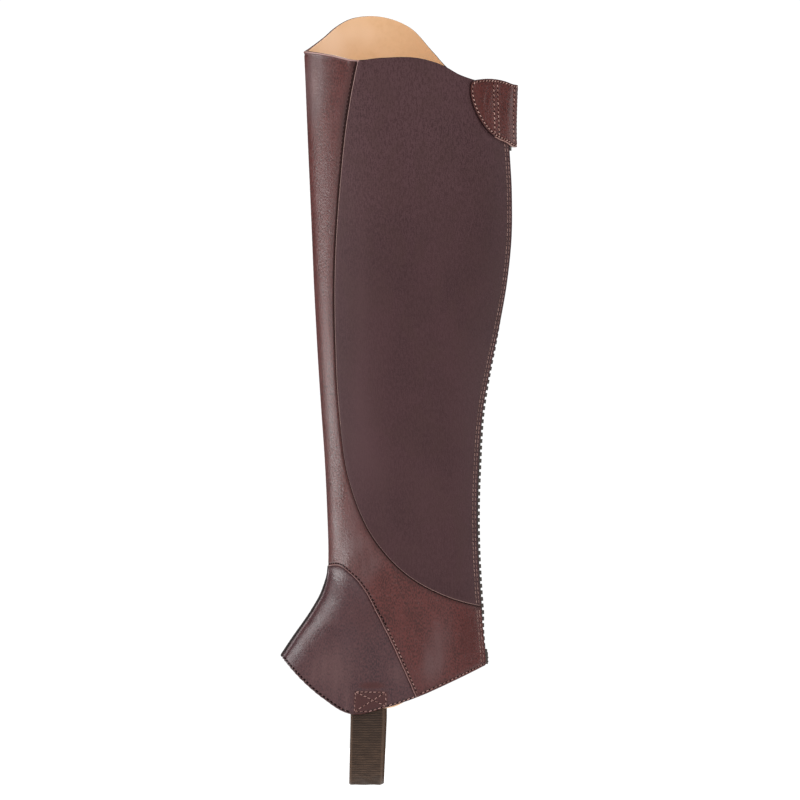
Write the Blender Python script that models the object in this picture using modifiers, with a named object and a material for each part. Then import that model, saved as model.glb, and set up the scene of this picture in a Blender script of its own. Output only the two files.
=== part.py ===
"""A half chap for the right leg, hollow and upright as it stands round a leg.

X runs from the toe (-) to the zip at the back (+), Y from the inner side (-) to the outer side (+)
and Z up. The origin is in the middle of the calf, where the leg holds the chap up. Sizes are in
millimetres, and points become metres where a mesh is made.

The wall is a stack of level sections. A place on it is its side, its run, which is the way round from
the middle of the shin, and its level. Each leather piece is cut from that wall between seam lines.
"""

import functools
import math

import bmesh
import bpy
import numpy as np

MM = 0.001
INNER, OUTER = -1, 1

# Thicknesses and gaps.
LEATHER = 1.4
LINING = 1.0
TAPE = 0.7
ELASTIC = 1.3
SEAM_GAP = 0.5  # between two leather pieces
VAMP_GAP = 0.7  # and round the vamps, where the wall bends most
LAYER_GAP = 0.4  # between two layers that lie face to face
FACET_ROOM = 0.3  # more, where the two layers' facets don't match

# The level sections: where the front and the back edge are, where the section is widest and how wide
# there, and how blunt its front is.
SECTION_COLUMNS = ("level", "front", "back", "widest", "half_width", "bluntness")
SECTIONS = (
    (150, -76.4, 67.8, 0, 49.0, 21),
    (110, -74.2, 68.6, 0, 50.0, 21),
    (60, -72.0, 69.0, 3, 52.0, 21),
    (10, -69.8, 71.6, 6, 53.0, 20),
    (-20, -68.6, 71.4, 6, 52.5, 20),
    (-50, -67.4, 68.4, 5, 51.5, 19),
    (-80, -65.8, 63.0, 4, 49.5, 19),
    (-110, -64.1, 56.6, 2, 47.0, 18),
    (-140, -62.2, 51.4, 0, 44.5, 18),
    (-175, -59.8, 48.5, -2, 42.0, 17),
    (-210, -58.1, 47.3, -3, 39.5, 17),
    (-246, -57.3, 48.0, -3, 38.5, 16),
    (-257, -57.8, 48.6, -3, 38.5, 15),
    (-268, -61.0, 49.3, -4, 38.5, 13),
    (-280, -67.6, 50.2, -5, 38.5, 12),
    (-300, -81.4, 52.1, -7, 39.0, 11),
    (-320, -94.6, 53.6, -10, 39.5, 11),
    (-355, -118.0, 55.0, -18, 40.0, 12),
)
FRONT_REACH = 0.50  # how far the section's bows reach towards the front, and towards the back
BACK_REACH = 0.46
EDGE_REACH = 0.23
EDGE_SLOPE = 1.7  # how steeply the two sides close on each other at the back
EDGE_HALF_GAP = 5.5  # from the middle of the zip to each leather edge

# Outlines in side view, from front to back, as (x, level). The front and back points come from the
# sections.
RIM_FRONT = 111.3
RIM_BACK = 88.0
INNER_RIM = (
    (-56, 108.2),
    (-38.5, 104.4),
    (-20, 105.8),
    (8, 105.2),
    (23, 100.7),
    (35, 94.2),
    (48, 90.0),
)
OUTER_RIM = (
    (-66, 115.7),
    (-52, 128.0),
    (-27, 135.8),
    (0, 128.6),
    (16, 112.0),
    (28.5, 99.0),
    (44, 91.5),
)
HEM_FRONT = -313.0
HEM_BACK = -318.5
HEM = ((-75, -329.7), (-61.6, -341.0), (-42, -352.2), (-17, -347.8), (4, -341.0), (30, -329.7))
CALF_SEAM_TOP = -36.4
CALF_SEAM_BACK = -277.0
CALF_SEAM = (
    (-45.6, 63.0),
    (-50.0, 21.0),
    (-52.6, -35.0),
    (-52.3, -90.0),
    (-49.7, -141.0),
    (-42.9, -188.0),
    (-33.0, -216.0),
    (-18.4, -239.0),
    (-0.8, -256.0),
    (21.5, -268.5),
)
CALF_SEAM_CORNER = 0.74  # the share of the seam that is the calf panel's front edge
CALF_STEPS_DOWN, CALF_STEPS_ROUND = 15, 15  # the seam's steps above that corner and below it
ANKLE_STEP = 15  # the seam's step where the shin's strip widens into the quarter
VAMP_SEAM_FRONT = -248.5
VAMP_SEAM_HEM = 4.2
VAMP_SEAM = (
    (-50.4, -247.2),
    (-39.2, -254.0),
    (-31.4, -263.2),
    (-23.2, -280.0),
    (-15.4, -297.5),
    (-5.6, -318.5),
)
VAMP_SEAM_CORNER = 0.48  # the share of the seam that is the vamp's top edge
VAMP_STEPS_ACROSS, VAMP_STEPS_DOWN = 9, 6
HEM_STEPS = 6  # the quarter's steps along the hem
LINING_ANKLE = 0.76  # the lining's rows lie closer below this share of its height

# The zip and what is on it.
CHAIN_HALF_WIDTH = 3.4
CHAIN_DEPTH = 3.6
CHAIN_TURN = 0.6  # its inner side stands this much prouder than its middle
CHAIN_ASIDE = 0.3  # and its outer face lies this far towards the outer side
# How far the chain stands proud of the leather's edge, as (level, proud).
CHAIN_RISE = ((82, -0.6), (-60, -0.6), (-78, -0.3), (-98, 1.2), (-305.8, 1.2))
TAPE_WIDTH = 12.0
TAPE_INSET = 0.6  # from the leather's edge to the tape's
LINING_EDGE = TAPE_WIDTH + 0.8  # from the leather's edge to the lining's, just past the tape
TAPE_TOP, TAPE_BOTTOM = 84.0, -315.0
BOX_TOP, BOX_BOTTOM = -306.5, -317.6
BOX_PROUD = 2.2
BOX_DEPTH = 4.4
SLIDER_TOP, SLIDER_BOTTOM = 80.0, 66.0
SLIDER_HALF_WIDTH = 3.5
SLIDER_PLATE = 1.0
PULL_TOP, PULL_TIP = 73.0, 38.4
PULL_HALF_WIDTH = 2.4
PULL_THICK = 1.1

# The snap tab, which is sewn to the inner side, wraps round the back and snaps shut on the outer side.
TAB_THICK = 1.4
TAB_BEND = 2.6  # the radius inside its bend
TAB_BEND_HALF = 6.0  # half the way round the bend
TAB_LIFT, TAB_LIFT_WAY = 1.0, 14.0  # how far it lifts off the leather, over how far before the edge
TAB_BACK = (44.0, 87.2)  # its lower and its upper level at the bend
TAB_BACK_RISE = (0.5, 0.9)  # and how much higher they are on the bend's inner side
# Its inner end's outline in side view, as (x, level).
TAB_INNER_END = ((44.6, 90.4), (42.2, 87.6), (41.7, 83.0), (43.1, 74.6))
TAB_INNER_TOP = ((65.2, 90.2), (50.5, 91.3))
TAB_INNER_BELOW = ((67.7, 46.6), (59.3, 50.5), (51.5, 57.8), (46.6, 65.7))
# Its outer end's outline, as (way round from the middle of the bend, level).
TAB_OUTER_TOP = ((20, 85.4), (34, 81.4))
TAB_OUTER_BELOW = ((20, 46.4), (34, 51.2))
TAB_OUTER_END = ((42, 76.6), (45.5, 66.3), (42, 56.0))
SNAP_WAY_ROUND = 35.0
SNAP_LEVEL = 66.3
SNAP_RADIUS = 6.2
SNAP_THICK = 2.2

# The elastic under the foot.
STRAP_FRONT, STRAP_BACK = -41.6, -17.6
STRAP_FOOT_FRONT, STRAP_FOOT_BACK = -42.6, -19.6
STRAP_TOP = -336.5
STRAP_BOTTOM = -401.8
STRAP_CORNER = 20.0
STRAP_HALF_FOOT = 34.0  # half its width under the foot
STRAP_LEAVES = -356.0  # below this it hangs free of the wall

PIPING_RADIUS = 1.0
PIPING_GROOVE = 1.5  # from the middle of the instep to each vamp's edge
PIPING_PROUD = 0.2
PIPING_BELOW_SEAM = 1.2

HALF_SECTION_STEPS = 60
CROWDING = 1.3  # how much closer columns lie at the front, where the wall bends most


# ---------------------------------------------------------------------------------------------------
# Curves in the plane


def hermite(at, knots, values):
    """Smooth values between rising knots, with the slope at each that a parabola through it has."""
    knots, values = np.asarray(knots, float), np.asarray(values, float)
    slope = np.gradient(values, knots, axis=0, edge_order=2 if len(knots) > 2 else 1)
    at = np.clip(np.asarray(at, float), knots[0], knots[-1])
    i = np.clip(np.searchsorted(knots, at, side="right") - 1, 0, len(knots) - 2)
    width = knots[i + 1] - knots[i]
    t = (at - knots[i]) / width
    return (
        values[i] * (2 * t**3 - 3 * t**2 + 1)
        + values[i + 1] * (3 * t**2 - 2 * t**3)
        + slope[i] * width * (t**3 - 2 * t**2 + t)
        + slope[i + 1] * width * (t**3 - t**2)
    )


def lengths(line):
    """The way along a line to each of its points."""
    steps = np.linalg.norm(np.diff(line, axis=0), axis=1)
    return np.concatenate(([0.0], np.cumsum(steps)))


def crowded(count):
    """Shares from 0 to 1 that lie closer together at the start."""
    return np.linspace(0, 1, count + 1) ** CROWDING


def along(line, shares):
    """A line's points at shares of its length."""
    line = np.asarray(line, float)
    way = lengths(line)
    return np.column_stack([np.interp(np.asarray(shares) * way[-1], way, k) for k in line.T])


def spaced(line, count):
    """A line's points, evenly spaced."""
    return along(line, np.linspace(0, 1, count + 1))


def smooth_line(points, count=120):
    """A smooth line through a few points."""
    points = np.asarray(points, float)
    way = lengths(points)
    at = np.linspace(0, way[-1], count)
    return np.column_stack([hermite(at, way, points[:, k]) for k in range(points.shape[1])])


def stations(line, shares, aside=0.0):
    """A line's points at shares of its length, moved aside to the left of its direction."""
    ahead = np.gradient(line, axis=0)
    ahead /= np.linalg.norm(ahead, axis=1)[:, None]
    moved = np.column_stack((line, aside * np.column_stack((-ahead[:, 1], ahead[:, 0]))))
    way = lengths(line)
    read = np.column_stack([np.interp(np.asarray(shares) * way[-1], way, k) for k in moved.T])
    return read[:, :2] + read[:, 2:]


def joined(*lines):
    """One line of several that meet end to end."""
    return np.concatenate([lines[0], *[line[1:] for line in lines[1:]]])


def patch(top, bottom, left, right):
    """The grid between four edges, each from left to right or from top to bottom."""
    across = np.linspace(0, 1, len(top))[None, :, None]
    down = np.linspace(0, 1, len(left))[:, None, None]
    level = (1 - down) * top[None] + down * bottom[None]
    upright = (1 - across) * left[:, None] + across * right[:, None]
    corners = (1 - down) * ((1 - across) * top[0] + across * top[-1]) + down * (
        (1 - across) * bottom[0] + across * bottom[-1]
    )
    return level + upright - corners


# ---------------------------------------------------------------------------------------------------
# The wall


def section_values(level):
    """The section table read at one level."""
    rows = np.array(SECTIONS[::-1], float)
    read = hermite(level, rows[:, 0], rows[:, 1:])
    return dict(zip(SECTION_COLUMNS[1:], read))


def bow(a, b, c, d):
    """Points along one cubic bow of the section."""
    t = np.linspace(0, 1, HALF_SECTION_STEPS)[:, None]
    return (
        (1 - t) ** 3 * np.array(a)
        + 3 * t * (1 - t) ** 2 * np.array(b)
        + 3 * t**2 * (1 - t) * np.array(c)
        + t**3 * np.array(d)
    )


@functools.cache
def half_section(level):
    """(run, x, y) along the outer half of the section, from the middle of the front to the back edge."""
    s = section_values(level)
    front, back, widest, wide = s["front"], s["back"], s["widest"], s["half_width"]
    reach = EDGE_REACH * (back - widest)
    line = joined(
        bow(
            (front, 0),
            (front, s["bluntness"]),
            (widest - FRONT_REACH * (widest - front), wide),
            (widest, wide),
        ),
        bow(
            (widest, wide),
            (widest + BACK_REACH * (back - widest), wide),
            (back - reach, EDGE_HALF_GAP + EDGE_SLOPE * reach),
            (back, EDGE_HALF_GAP),
        ),
    )
    return np.column_stack((lengths(line), line))


def edge_run(level):
    """How far round the back edge is."""
    return half_section(level)[-1, 0]


def run_of(x, level):
    """How far round a point is that the side view shows at x."""
    rows = half_section(level)
    return float(np.interp(x, rows[:, 1], rows[:, 0]))


def flat_point(run, level):
    """(x, y) on the outer half of the wall."""
    rows = half_section(level)
    return np.array([np.interp(run, rows[:, 0], rows[:, k]) for k in (1, 2)])


def wall_normal(run, level, step=0.5):
    """The outer half's outward normal."""
    before, after = max(run - step, 0.0), min(run + step, edge_run(level) - 1e-6)
    along = np.append(flat_point(after, level) - flat_point(before, level), 0.0)
    if run <= step:
        along[0] = 0.0
    rise = np.append(flat_point(run, level + step) - flat_point(run, level - step), 2 * step)
    normal = np.cross(rise, along)
    return normal / np.linalg.norm(normal)


def wall_point(side, run, level, out=0.0):
    """The point of the wall at a place, moved out along its normal."""
    run = min(max(run, 0.0), edge_run(level))
    point = np.append(flat_point(run, level), level) + out * wall_normal(run, level)
    return point * (1, side, 1)


def on_wall(line):
    """A side-view line of (x, level) as (run, level)."""
    return np.array([(run_of(x, level), level) for x, level in line])


# ---------------------------------------------------------------------------------------------------
# Seam lines, as (run, level)


def edge_point(level):
    return (section_values(level)["back"], level)


def front_point(level):
    return (section_values(level)["front"], level)


def side_line(points, front, back):
    """A smooth side-view line from the middle of the front to the back edge."""
    return smooth_line([front_point(front), *points, edge_point(back)])


def rim_line(side):
    points = INNER_RIM if side == INNER else OUTER_RIM
    return side_line(points, RIM_FRONT, RIM_BACK)


def hem_line():
    return side_line(HEM, HEM_FRONT, HEM_BACK)


def level_of(line, x):
    return float(np.interp(x, line[:, 0], line[:, 1]))


def between(line, first, last):
    """The stretch of a side-view line from one x to another."""
    inside = line[(line[:, 0] > first) & (line[:, 0] < last)]
    ends = [(first, level_of(line, first)), (last, level_of(line, last))]
    return np.concatenate(([ends[0]], inside, [ends[1]]))


def seam_shares(corner, before, after):
    """The shares of a seam's stations before its corner and after it."""
    return np.concatenate((corner * before, np.linspace(corner, 1, after + 1)[1:]))


def calf_seam(side, aside):
    """Stations from the rim down the shin, and round under the calf to the back edge."""
    top = (CALF_SEAM_TOP, level_of(rim_line(side), CALF_SEAM_TOP))
    line = on_wall(smooth_line([top, *CALF_SEAM, edge_point(CALF_SEAM_BACK)]))
    shares = seam_shares(CALF_SEAM_CORNER, np.linspace(0, 1, CALF_STEPS_DOWN + 1), CALF_STEPS_ROUND)
    return stations(line, shares, aside)


def vamp_seam(aside, start=0.0):
    """Stations from the middle of the front, over the instep and down to the hem."""
    foot = (VAMP_SEAM_HEM, level_of(hem_line(), VAMP_SEAM_HEM))
    line = on_wall(smooth_line([front_point(VAMP_SEAM_FRONT), *VAMP_SEAM, foot]))
    shares = seam_shares(VAMP_SEAM_CORNER, crowded(VAMP_STEPS_ACROSS), VAMP_STEPS_DOWN)
    found = stations(line, shares, aside)
    found[0, 0] = start
    return found


def back_edge(top, bottom, count):
    return np.array([(edge_run(level), level) for level in np.linspace(top, bottom, count + 1)])


# ---------------------------------------------------------------------------------------------------
# Meshes


def new_object(name, mesh, finish, collection):
    """A mesh as an object with its material."""
    obj = bpy.data.objects.new(name, mesh)
    collection.objects.link(obj)
    colour, roughness, metallic = finish
    material = bpy.data.materials.new(name)
    material.use_nodes = True
    shader = material.node_tree.nodes["Principled BSDF"]
    shader.inputs["Base Color"].default_value = (*colour, 1)
    shader.inputs["Roughness"].default_value = roughness
    shader.inputs["Metallic"].default_value = metallic
    mesh.materials.append(material)
    mesh.shade_smooth()
    mesh.set_sharp_from_angle(angle=math.radians(40))
    return obj


def grid_mesh(name, grids):
    """One open mesh of grids of points, joined where they meet."""
    mesh = bpy.data.meshes.new(name)
    work = bmesh.new()
    for grid in grids:
        rows = [[work.verts.new([float(c) * MM for c in point]) for point in row] for row in grid]
        for upper, lower in zip(rows, rows[1:]):
            for k in range(len(upper) - 1):
                work.faces.new((upper[k], lower[k], lower[k + 1], upper[k + 1]))
    bmesh.ops.remove_doubles(work, verts=work.verts[:], dist=0.02 * MM)
    bmesh.ops.recalc_face_normals(work, faces=work.faces[:])
    work.to_mesh(mesh)
    work.free()
    return mesh


def shell(name, grids, thickness, middle, finish, collection, outward=False):
    """A sheet of one thickness on grids of points, built away from the chap's middle or towards it."""
    mesh = grid_mesh(name, grids)
    mesh.update()
    face = max(mesh.polygons, key=lambda polygon: polygon.area)
    if (np.array(face.center) / MM - middle) @ np.array(face.normal) < 0:
        mesh.flip_normals()
    obj = new_object(name, mesh, finish, collection)
    solidify = obj.modifiers.new("thickness", "SOLIDIFY")
    solidify.thickness = thickness * MM
    solidify.offset = 1.0 if outward else -1.0
    return obj


def lifted(grid, side, out=0.0):
    """A grid of (run, level) as points of the wall."""
    return [[wall_point(side, run, level, out) for run, level in row] for row in grid]


def block(name, low, high, bevel, finish, collection):
    """A box between two corners, with rounded edges."""
    mesh = bpy.data.meshes.new(name)
    work = bmesh.new()
    bmesh.ops.create_cube(work, size=1)
    for vert in work.verts:
        vert.co = [(lo + (hi - lo) * (c + 0.5)) * MM for c, lo, hi in zip(vert.co, low, high)]
    work.to_mesh(mesh)
    work.free()
    obj = new_object(name, mesh, finish, collection)
    rounding = obj.modifiers.new("rounding", "BEVEL")
    rounding.width = bevel * MM
    rounding.segments = 2
    return obj


# ---------------------------------------------------------------------------------------------------
# The leather pieces and the lining

GLOSSY_LEATHER = ((0.150, 0.075, 0.068), 0.42, 0.0)
SOFT_LEATHER = ((0.078, 0.040, 0.044), 0.68, 0.0)
LINING_LEATHER = ((0.73, 0.46, 0.26), 0.62, 0.0)
BLACK_TAPE = ((0.030, 0.026, 0.024), 0.85, 0.0)
ZIP_RESIN = ((0.045, 0.038, 0.034), 0.45, 0.0)
DARK_METAL = ((0.060, 0.055, 0.050), 0.35, 1.0)
BROWN_ELASTIC = ((0.075, 0.052, 0.036), 0.85, 0.0)
DARK_PIPING = ((0.040, 0.018, 0.016), 0.50, 0.0)
CENTRE = np.array((0.0, 0.0, -100.0))


def shin_grids(side, columns=8):
    """The strip up the shin and the quarter under the calf, on one side."""
    seam = calf_seam(side, -SEAM_GAP / 2)
    vamp = vamp_seam(VAMP_GAP / 2)
    rim = on_wall(between(rim_line(side), section_values(RIM_FRONT)["front"], CALF_SEAM_TOP))
    rim[-1] = seam[0]
    shares = crowded(columns)
    ankle = along([vamp[0], seam[ANKLE_STEP]], shares)
    shin_levels = np.linspace(RIM_FRONT, vamp[0, 1], ANKLE_STEP + 1)
    shin = np.column_stack((np.zeros(ANKLE_STEP + 1), shin_levels))
    strip = patch(along(rim, shares), ankle, shin, seam[: ANKLE_STEP + 1])
    hem = on_wall(between(hem_line(), VAMP_SEAM_HEM, section_values(HEM_BACK)["back"]))
    hem[0] = vamp[-1]
    foot = joined(spaced(hem, HEM_STEPS), back_edge(HEM_BACK, seam[-1, 1], columns - HEM_STEPS))
    foot[-1] = seam[-1]
    quarter = patch(ankle, foot, vamp, seam[ANKLE_STEP:])
    return [lifted(strip, side), lifted(quarter, side)]


def build_shin_panel(collection):
    """The stiff leather front, which widens at the ankle and runs round to the zip on both sides."""
    grids = [*shin_grids(INNER), *shin_grids(OUTER)]
    shell("shin_panel", grids, LEATHER, CENTRE, GLOSSY_LEATHER, collection)


def calf_grid(side):
    """The soft panel between the seam, the rim and the zip, on one side."""
    seam = calf_seam(side, SEAM_GAP / 2)
    rim = on_wall(between(rim_line(side), CALF_SEAM_TOP, section_values(RIM_BACK)["back"]))
    rim[0] = seam[0]
    edge = back_edge(RIM_BACK, seam[-1, 1], CALF_STEPS_DOWN)
    edge[-1] = seam[-1]
    down, under = seam[: CALF_STEPS_DOWN + 1], seam[CALF_STEPS_DOWN:]
    return patch(spaced(rim, CALF_STEPS_ROUND), under, down, edge)


def build_calf_panels(collection):
    """The soft panel of the inner side, and the outer one, which rises into the high dress top."""
    for name, side in (("inner_calf_panel", INNER), ("outer_calf_panel", OUTER)):
        finish = SOFT_LEATHER if side == INNER else GLOSSY_LEATHER
        shell(name, [lifted(calf_grid(side), side)], LEATHER, CENTRE, finish, collection)


def build_vamps(collection):
    """The two pieces over the instep, which meet at its piping."""
    seam = vamp_seam(-VAMP_GAP / 2, PIPING_GROOVE)
    hem = on_wall(between(hem_line(), section_values(HEM_FRONT)["front"], VAMP_SEAM_HEM))
    hem = hem[hem[:, 0] > PIPING_GROOVE]
    hem[-1] = seam[-1]
    instep = np.linspace(seam[0], hem[0], VAMP_STEPS_DOWN + 1)
    across, down = seam[: VAMP_STEPS_ACROSS + 1], seam[VAMP_STEPS_ACROSS:]
    grid = patch(across, along(hem, crowded(VAMP_STEPS_ACROSS)), instep, down)
    for name, side in (("inner_vamp", INNER), ("outer_vamp", OUTER)):
        shell(name, [lifted(grid, side)], LEATHER, CENTRE, GLOSSY_LEATHER, collection)


def lining_half(side, columns=17, rows_above=11, rows_below=12):
    """The lining of one side, from the middle of the front to the zip tape."""
    rim, hem = on_wall(rim_line(side)), on_wall(hem_line())
    tops, bottoms = [], []
    for share in crowded(columns):
        for line, found in ((rim, tops), (hem, bottoms)):
            shares = line[:, 0] / np.array([edge_run(level) - LINING_EDGE for level in line[:, 1]])
            found.append((share, float(np.interp(share, shares, line[:, 1]))))
    grid = []
    for down in seam_shares(LINING_ANKLE, np.linspace(0, 1, rows_above + 1), rows_below):
        levels = [top[1] + (bottom[1] - top[1]) * down for top, bottom in zip(tops, bottoms)]
        grid.append([(share * (edge_run(z) - LINING_EDGE), z) for (share, _), z in zip(tops, levels)])
    return lifted(grid, side, -(LEATHER + LAYER_GAP + FACET_ROOM))


def build_lining(collection):
    """The thin leather lining, which shows inside the high top."""
    grids = [lining_half(INNER), lining_half(OUTER)]
    shell("lining", grids, LINING, CENTRE, LINING_LEATHER, collection)


def build_piping(collection, points=14):
    """The cord between the two vamps."""
    levels = np.linspace(VAMP_SEAM_FRONT - PIPING_BELOW_SEAM, HEM_FRONT, points)
    curve = bpy.data.curves.new("instep_piping", "CURVE")
    curve.dimensions = "3D"
    curve.bevel_depth = PIPING_RADIUS * MM
    curve.bevel_resolution = 2
    curve.use_fill_caps = True
    spline = curve.splines.new("POLY")
    spline.points.add(points - 1)
    for point, level in zip(spline.points, levels):
        front = section_values(level)["front"] - PIPING_PROUD
        point.co = (front * MM, 0, level * MM, 1)
    made = bpy.data.objects.new("piping_guide", curve)
    collection.objects.link(made)
    evaluated = made.evaluated_get(bpy.context.evaluated_depsgraph_get())
    mesh = bpy.data.meshes.new_from_object(evaluated)
    bpy.data.objects.remove(made)
    work = bmesh.new()
    work.from_mesh(mesh)
    bmesh.ops.remove_doubles(work, verts=work.verts[:], dist=0.01 * MM)
    bmesh.ops.recalc_face_normals(work, faces=work.faces[:])
    work.to_mesh(mesh)
    work.free()
    mesh.name = "instep_piping"
    new_object("instep_piping", mesh, DARK_PIPING, collection)


# ---------------------------------------------------------------------------------------------------
# The zip


def chain_rise(level):
    rows = np.array(CHAIN_RISE[::-1], float)
    return float(np.interp(level, rows[:, 0], rows[:, 1]))


def chain_face(level):
    """The x of the middle of the chain's outer face."""
    return section_values(level)["back"] + chain_rise(level)


def build_zip_tapes(collection, rows=20):
    """The two tapes, sewn inside the leather's back edges."""
    levels = np.linspace(TAPE_TOP, TAPE_BOTTOM, rows + 1)
    for name, side in (("inner_zip_tape", INNER), ("outer_zip_tape", OUTER)):
        insets = np.linspace(TAPE_WIDTH, TAPE_INSET, 3)
        grid = [[(edge_run(level) - inset, level) for inset in insets] for level in levels]
        points = lifted(grid, side, -(LEATHER + LAYER_GAP + FACET_ROOM / 2))
        shell(name, [points], TAPE, CENTRE, BLACK_TAPE, collection)


def build_zip_chain(collection):
    """The plain reach of the closed teeth."""
    top, bottom = CHAIN_RISE[0][0], CHAIN_RISE[-1][0]
    first, last = CHAIN_RISE[2][0], CHAIN_RISE[3][0]
    levels = joined(np.linspace(top, first, 9), np.linspace(first, last, 3), np.linspace(last, bottom, 11))
    grid = [
        [
            (chain_face(level) - CHAIN_TURN * across, CHAIN_ASIDE + CHAIN_HALF_WIDTH * across, level)
            for across in (-1, 0, 1)
        ]
        for level in levels
    ]
    shell("zip_chain", [grid], CHAIN_DEPTH, CENTRE, ZIP_RESIN, collection)


def build_zip_ends(collection):
    """The box at the foot of the zip, and the slider and its pull at the top, under the tab."""
    back = section_values((BOX_TOP + BOX_BOTTOM) / 2)["back"] + BOX_PROUD
    block(
        "zip_box",
        (back - BOX_DEPTH, -CHAIN_HALF_WIDTH, BOX_BOTTOM),
        (back, CHAIN_HALF_WIDTH, BOX_TOP),
        0.6,
        ZIP_RESIN,
        collection,
    )
    build_slider(collection)
    build_pull(collection)


def slider_face():
    """The x of the slider plate's outer face."""
    highest = max(chain_face(SLIDER_TOP), chain_face(SLIDER_BOTTOM))
    return highest + CHAIN_TURN + LAYER_GAP + SLIDER_PLATE


def build_slider(collection):
    """The slider's front plate, with tapering sides."""
    face = slider_face()
    outline = ((-1, SLIDER_TOP), (1, SLIDER_TOP), (0.8, SLIDER_BOTTOM), (-0.8, SLIDER_BOTTOM))
    mesh = bpy.data.meshes.new("zip_slider")
    work = bmesh.new()
    near = [work.verts.new((face * MM, y * SLIDER_HALF_WIDTH * MM, z * MM)) for y, z in outline]
    plate = work.faces.new(near)
    made = bmesh.ops.extrude_face_region(work, geom=[plate])
    for vert in made["geom"]:
        if isinstance(vert, bmesh.types.BMVert):
            vert.co.x -= SLIDER_PLATE * MM
    bmesh.ops.recalc_face_normals(work, faces=work.faces[:])
    work.to_mesh(mesh)
    work.free()
    obj = new_object("zip_slider", mesh, DARK_METAL, collection)
    rounding = obj.modifiers.new("rounding", "BEVEL")
    rounding.width = 0.3 * MM
    rounding.segments = 2


def build_pull(collection, round_points=6):
    """The pull, which hangs from the slider with its round tip just below the tab."""
    top = slider_face() + LAYER_GAP
    tip = chain_face(PULL_TIP) + CHAIN_TURN + LAYER_GAP
    middle = PULL_TIP + PULL_HALF_WIDTH
    turns = np.linspace(0, math.pi, round_points + 1)
    outline = [(PULL_HALF_WIDTH * math.cos(t), middle - PULL_HALF_WIDTH * math.sin(t)) for t in turns]
    outline += [(-PULL_HALF_WIDTH, PULL_TOP), (PULL_HALF_WIDTH, PULL_TOP)]
    lean = (top - tip) / (SLIDER_BOTTOM - PULL_TIP)
    mesh = bpy.data.meshes.new("zip_pull")
    work = bmesh.new()
    back = [
        work.verts.new((min(top, tip + lean * (z - PULL_TIP)) * MM, y * MM, z * MM)) for y, z in outline
    ]
    plate = work.faces.new(back)
    made = bmesh.ops.extrude_face_region(work, geom=[plate])
    for vert in made["geom"]:
        if isinstance(vert, bmesh.types.BMVert):
            vert.co.x += PULL_THICK * MM
    bmesh.ops.recalc_face_normals(work, faces=work.faces[:])
    bmesh.ops.triangulate(work, faces=work.faces[:])
    work.to_mesh(mesh)
    work.free()
    new_object("zip_pull", mesh, DARK_METAL, collection)


# ---------------------------------------------------------------------------------------------------
# The snap tab


def tab_path(level):
    """(way, x, y) of the tab's inner face on the outer half, from the middle of its bend forwards."""
    section = section_values(level)
    angle = math.atan(EDGE_SLOPE)
    sharp = section["back"] + EDGE_HALF_GAP / EDGE_SLOPE + (LAYER_GAP + TAB_LIFT) / math.sin(angle)
    centre = sharp - TAB_BEND / math.sin(angle)
    turns = np.linspace(0, math.pi / 2 - angle, 9)
    bend = np.column_stack((centre + TAB_BEND * np.cos(turns), TAB_BEND * np.sin(turns)))
    before = np.linspace(0.5, 75, 60)
    lift = LAYER_GAP + TAB_LIFT * np.clip(1 - before / TAB_LIFT_WAY, 0, 1) ** 2
    edge = edge_run(level)
    panel = np.array([wall_point(OUTER, edge - b, level, up)[:2] for b, up in zip(before, lift)])
    line = np.concatenate((bend, panel))
    return np.column_stack((lengths(line), line))


def tab_point(way, level):
    """The point of the tab's inner face so far round from its bend, minus towards the inner side."""
    path = tab_path(level)
    x, y = (np.interp(abs(way), path[:, 0], path[:, k]) for k in (1, 2))
    return (x, math.copysign(y, way), level)


def tab_way(x, level):
    """How far round on the inner side a point is that the side view shows at x."""
    path = tab_path(level)[::-1]
    return -float(np.interp(x, path[:, 1], path[:, 0]))


def tab_grids(rows=5, end_columns=6, bend_columns=6):
    """The tab's inner end, its bend and its outer end, as grids of (way round, level)."""
    below, above = TAB_BACK
    inner = {
        "end": [(tab_way(x, z), z) for x, z in TAB_INNER_END],
        "top": [(tab_way(x, z), z) for x, z in TAB_INNER_TOP],
        "below": [(tab_way(x, z), z) for x, z in TAB_INNER_BELOW],
    }
    bend_below = (-TAB_BEND_HALF, below + TAB_BACK_RISE[0])
    bend_above = (-TAB_BEND_HALF, above + TAB_BACK_RISE[1])
    top = smooth_line([inner["end"][0], *inner["top"][::-1], bend_above])
    bottom = smooth_line([inner["end"][-1], *inner["below"][::-1], bend_below])
    end = smooth_line(inner["end"])
    seam = np.linspace(top[-1], bottom[-1], rows + 1)
    inner_grid = patch(spaced(top, end_columns), spaced(bottom, end_columns), spaced(end, rows), seam)
    outer_top = smooth_line([(TAB_BEND_HALF, above), *TAB_OUTER_TOP, TAB_OUTER_END[0]])
    outer_bottom = smooth_line([(TAB_BEND_HALF, below), *TAB_OUTER_BELOW, TAB_OUTER_END[-1]])
    far_seam = np.linspace(outer_top[0], outer_bottom[0], rows + 1)
    outer_grid = patch(
        spaced(outer_top, end_columns),
        spaced(outer_bottom, end_columns),
        far_seam,
        spaced(smooth_line(TAB_OUTER_END), rows),
    )
    bend_grid = patch(
        np.linspace(seam[0], far_seam[0], bend_columns + 1),
        np.linspace(seam[-1], far_seam[-1], bend_columns + 1),
        seam,
        far_seam,
    )
    return inner_grid, bend_grid, outer_grid


def build_snap_tab(collection):
    """The tab over the top of the zip."""
    grids = [[[tab_point(way, z) for way, z in row] for row in grid] for grid in tab_grids()]
    middle = np.array((40.0, 0.0, SNAP_LEVEL))
    shell("snap_tab", grids, TAB_THICK, middle, GLOSSY_LEATHER, collection, outward=True)


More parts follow.
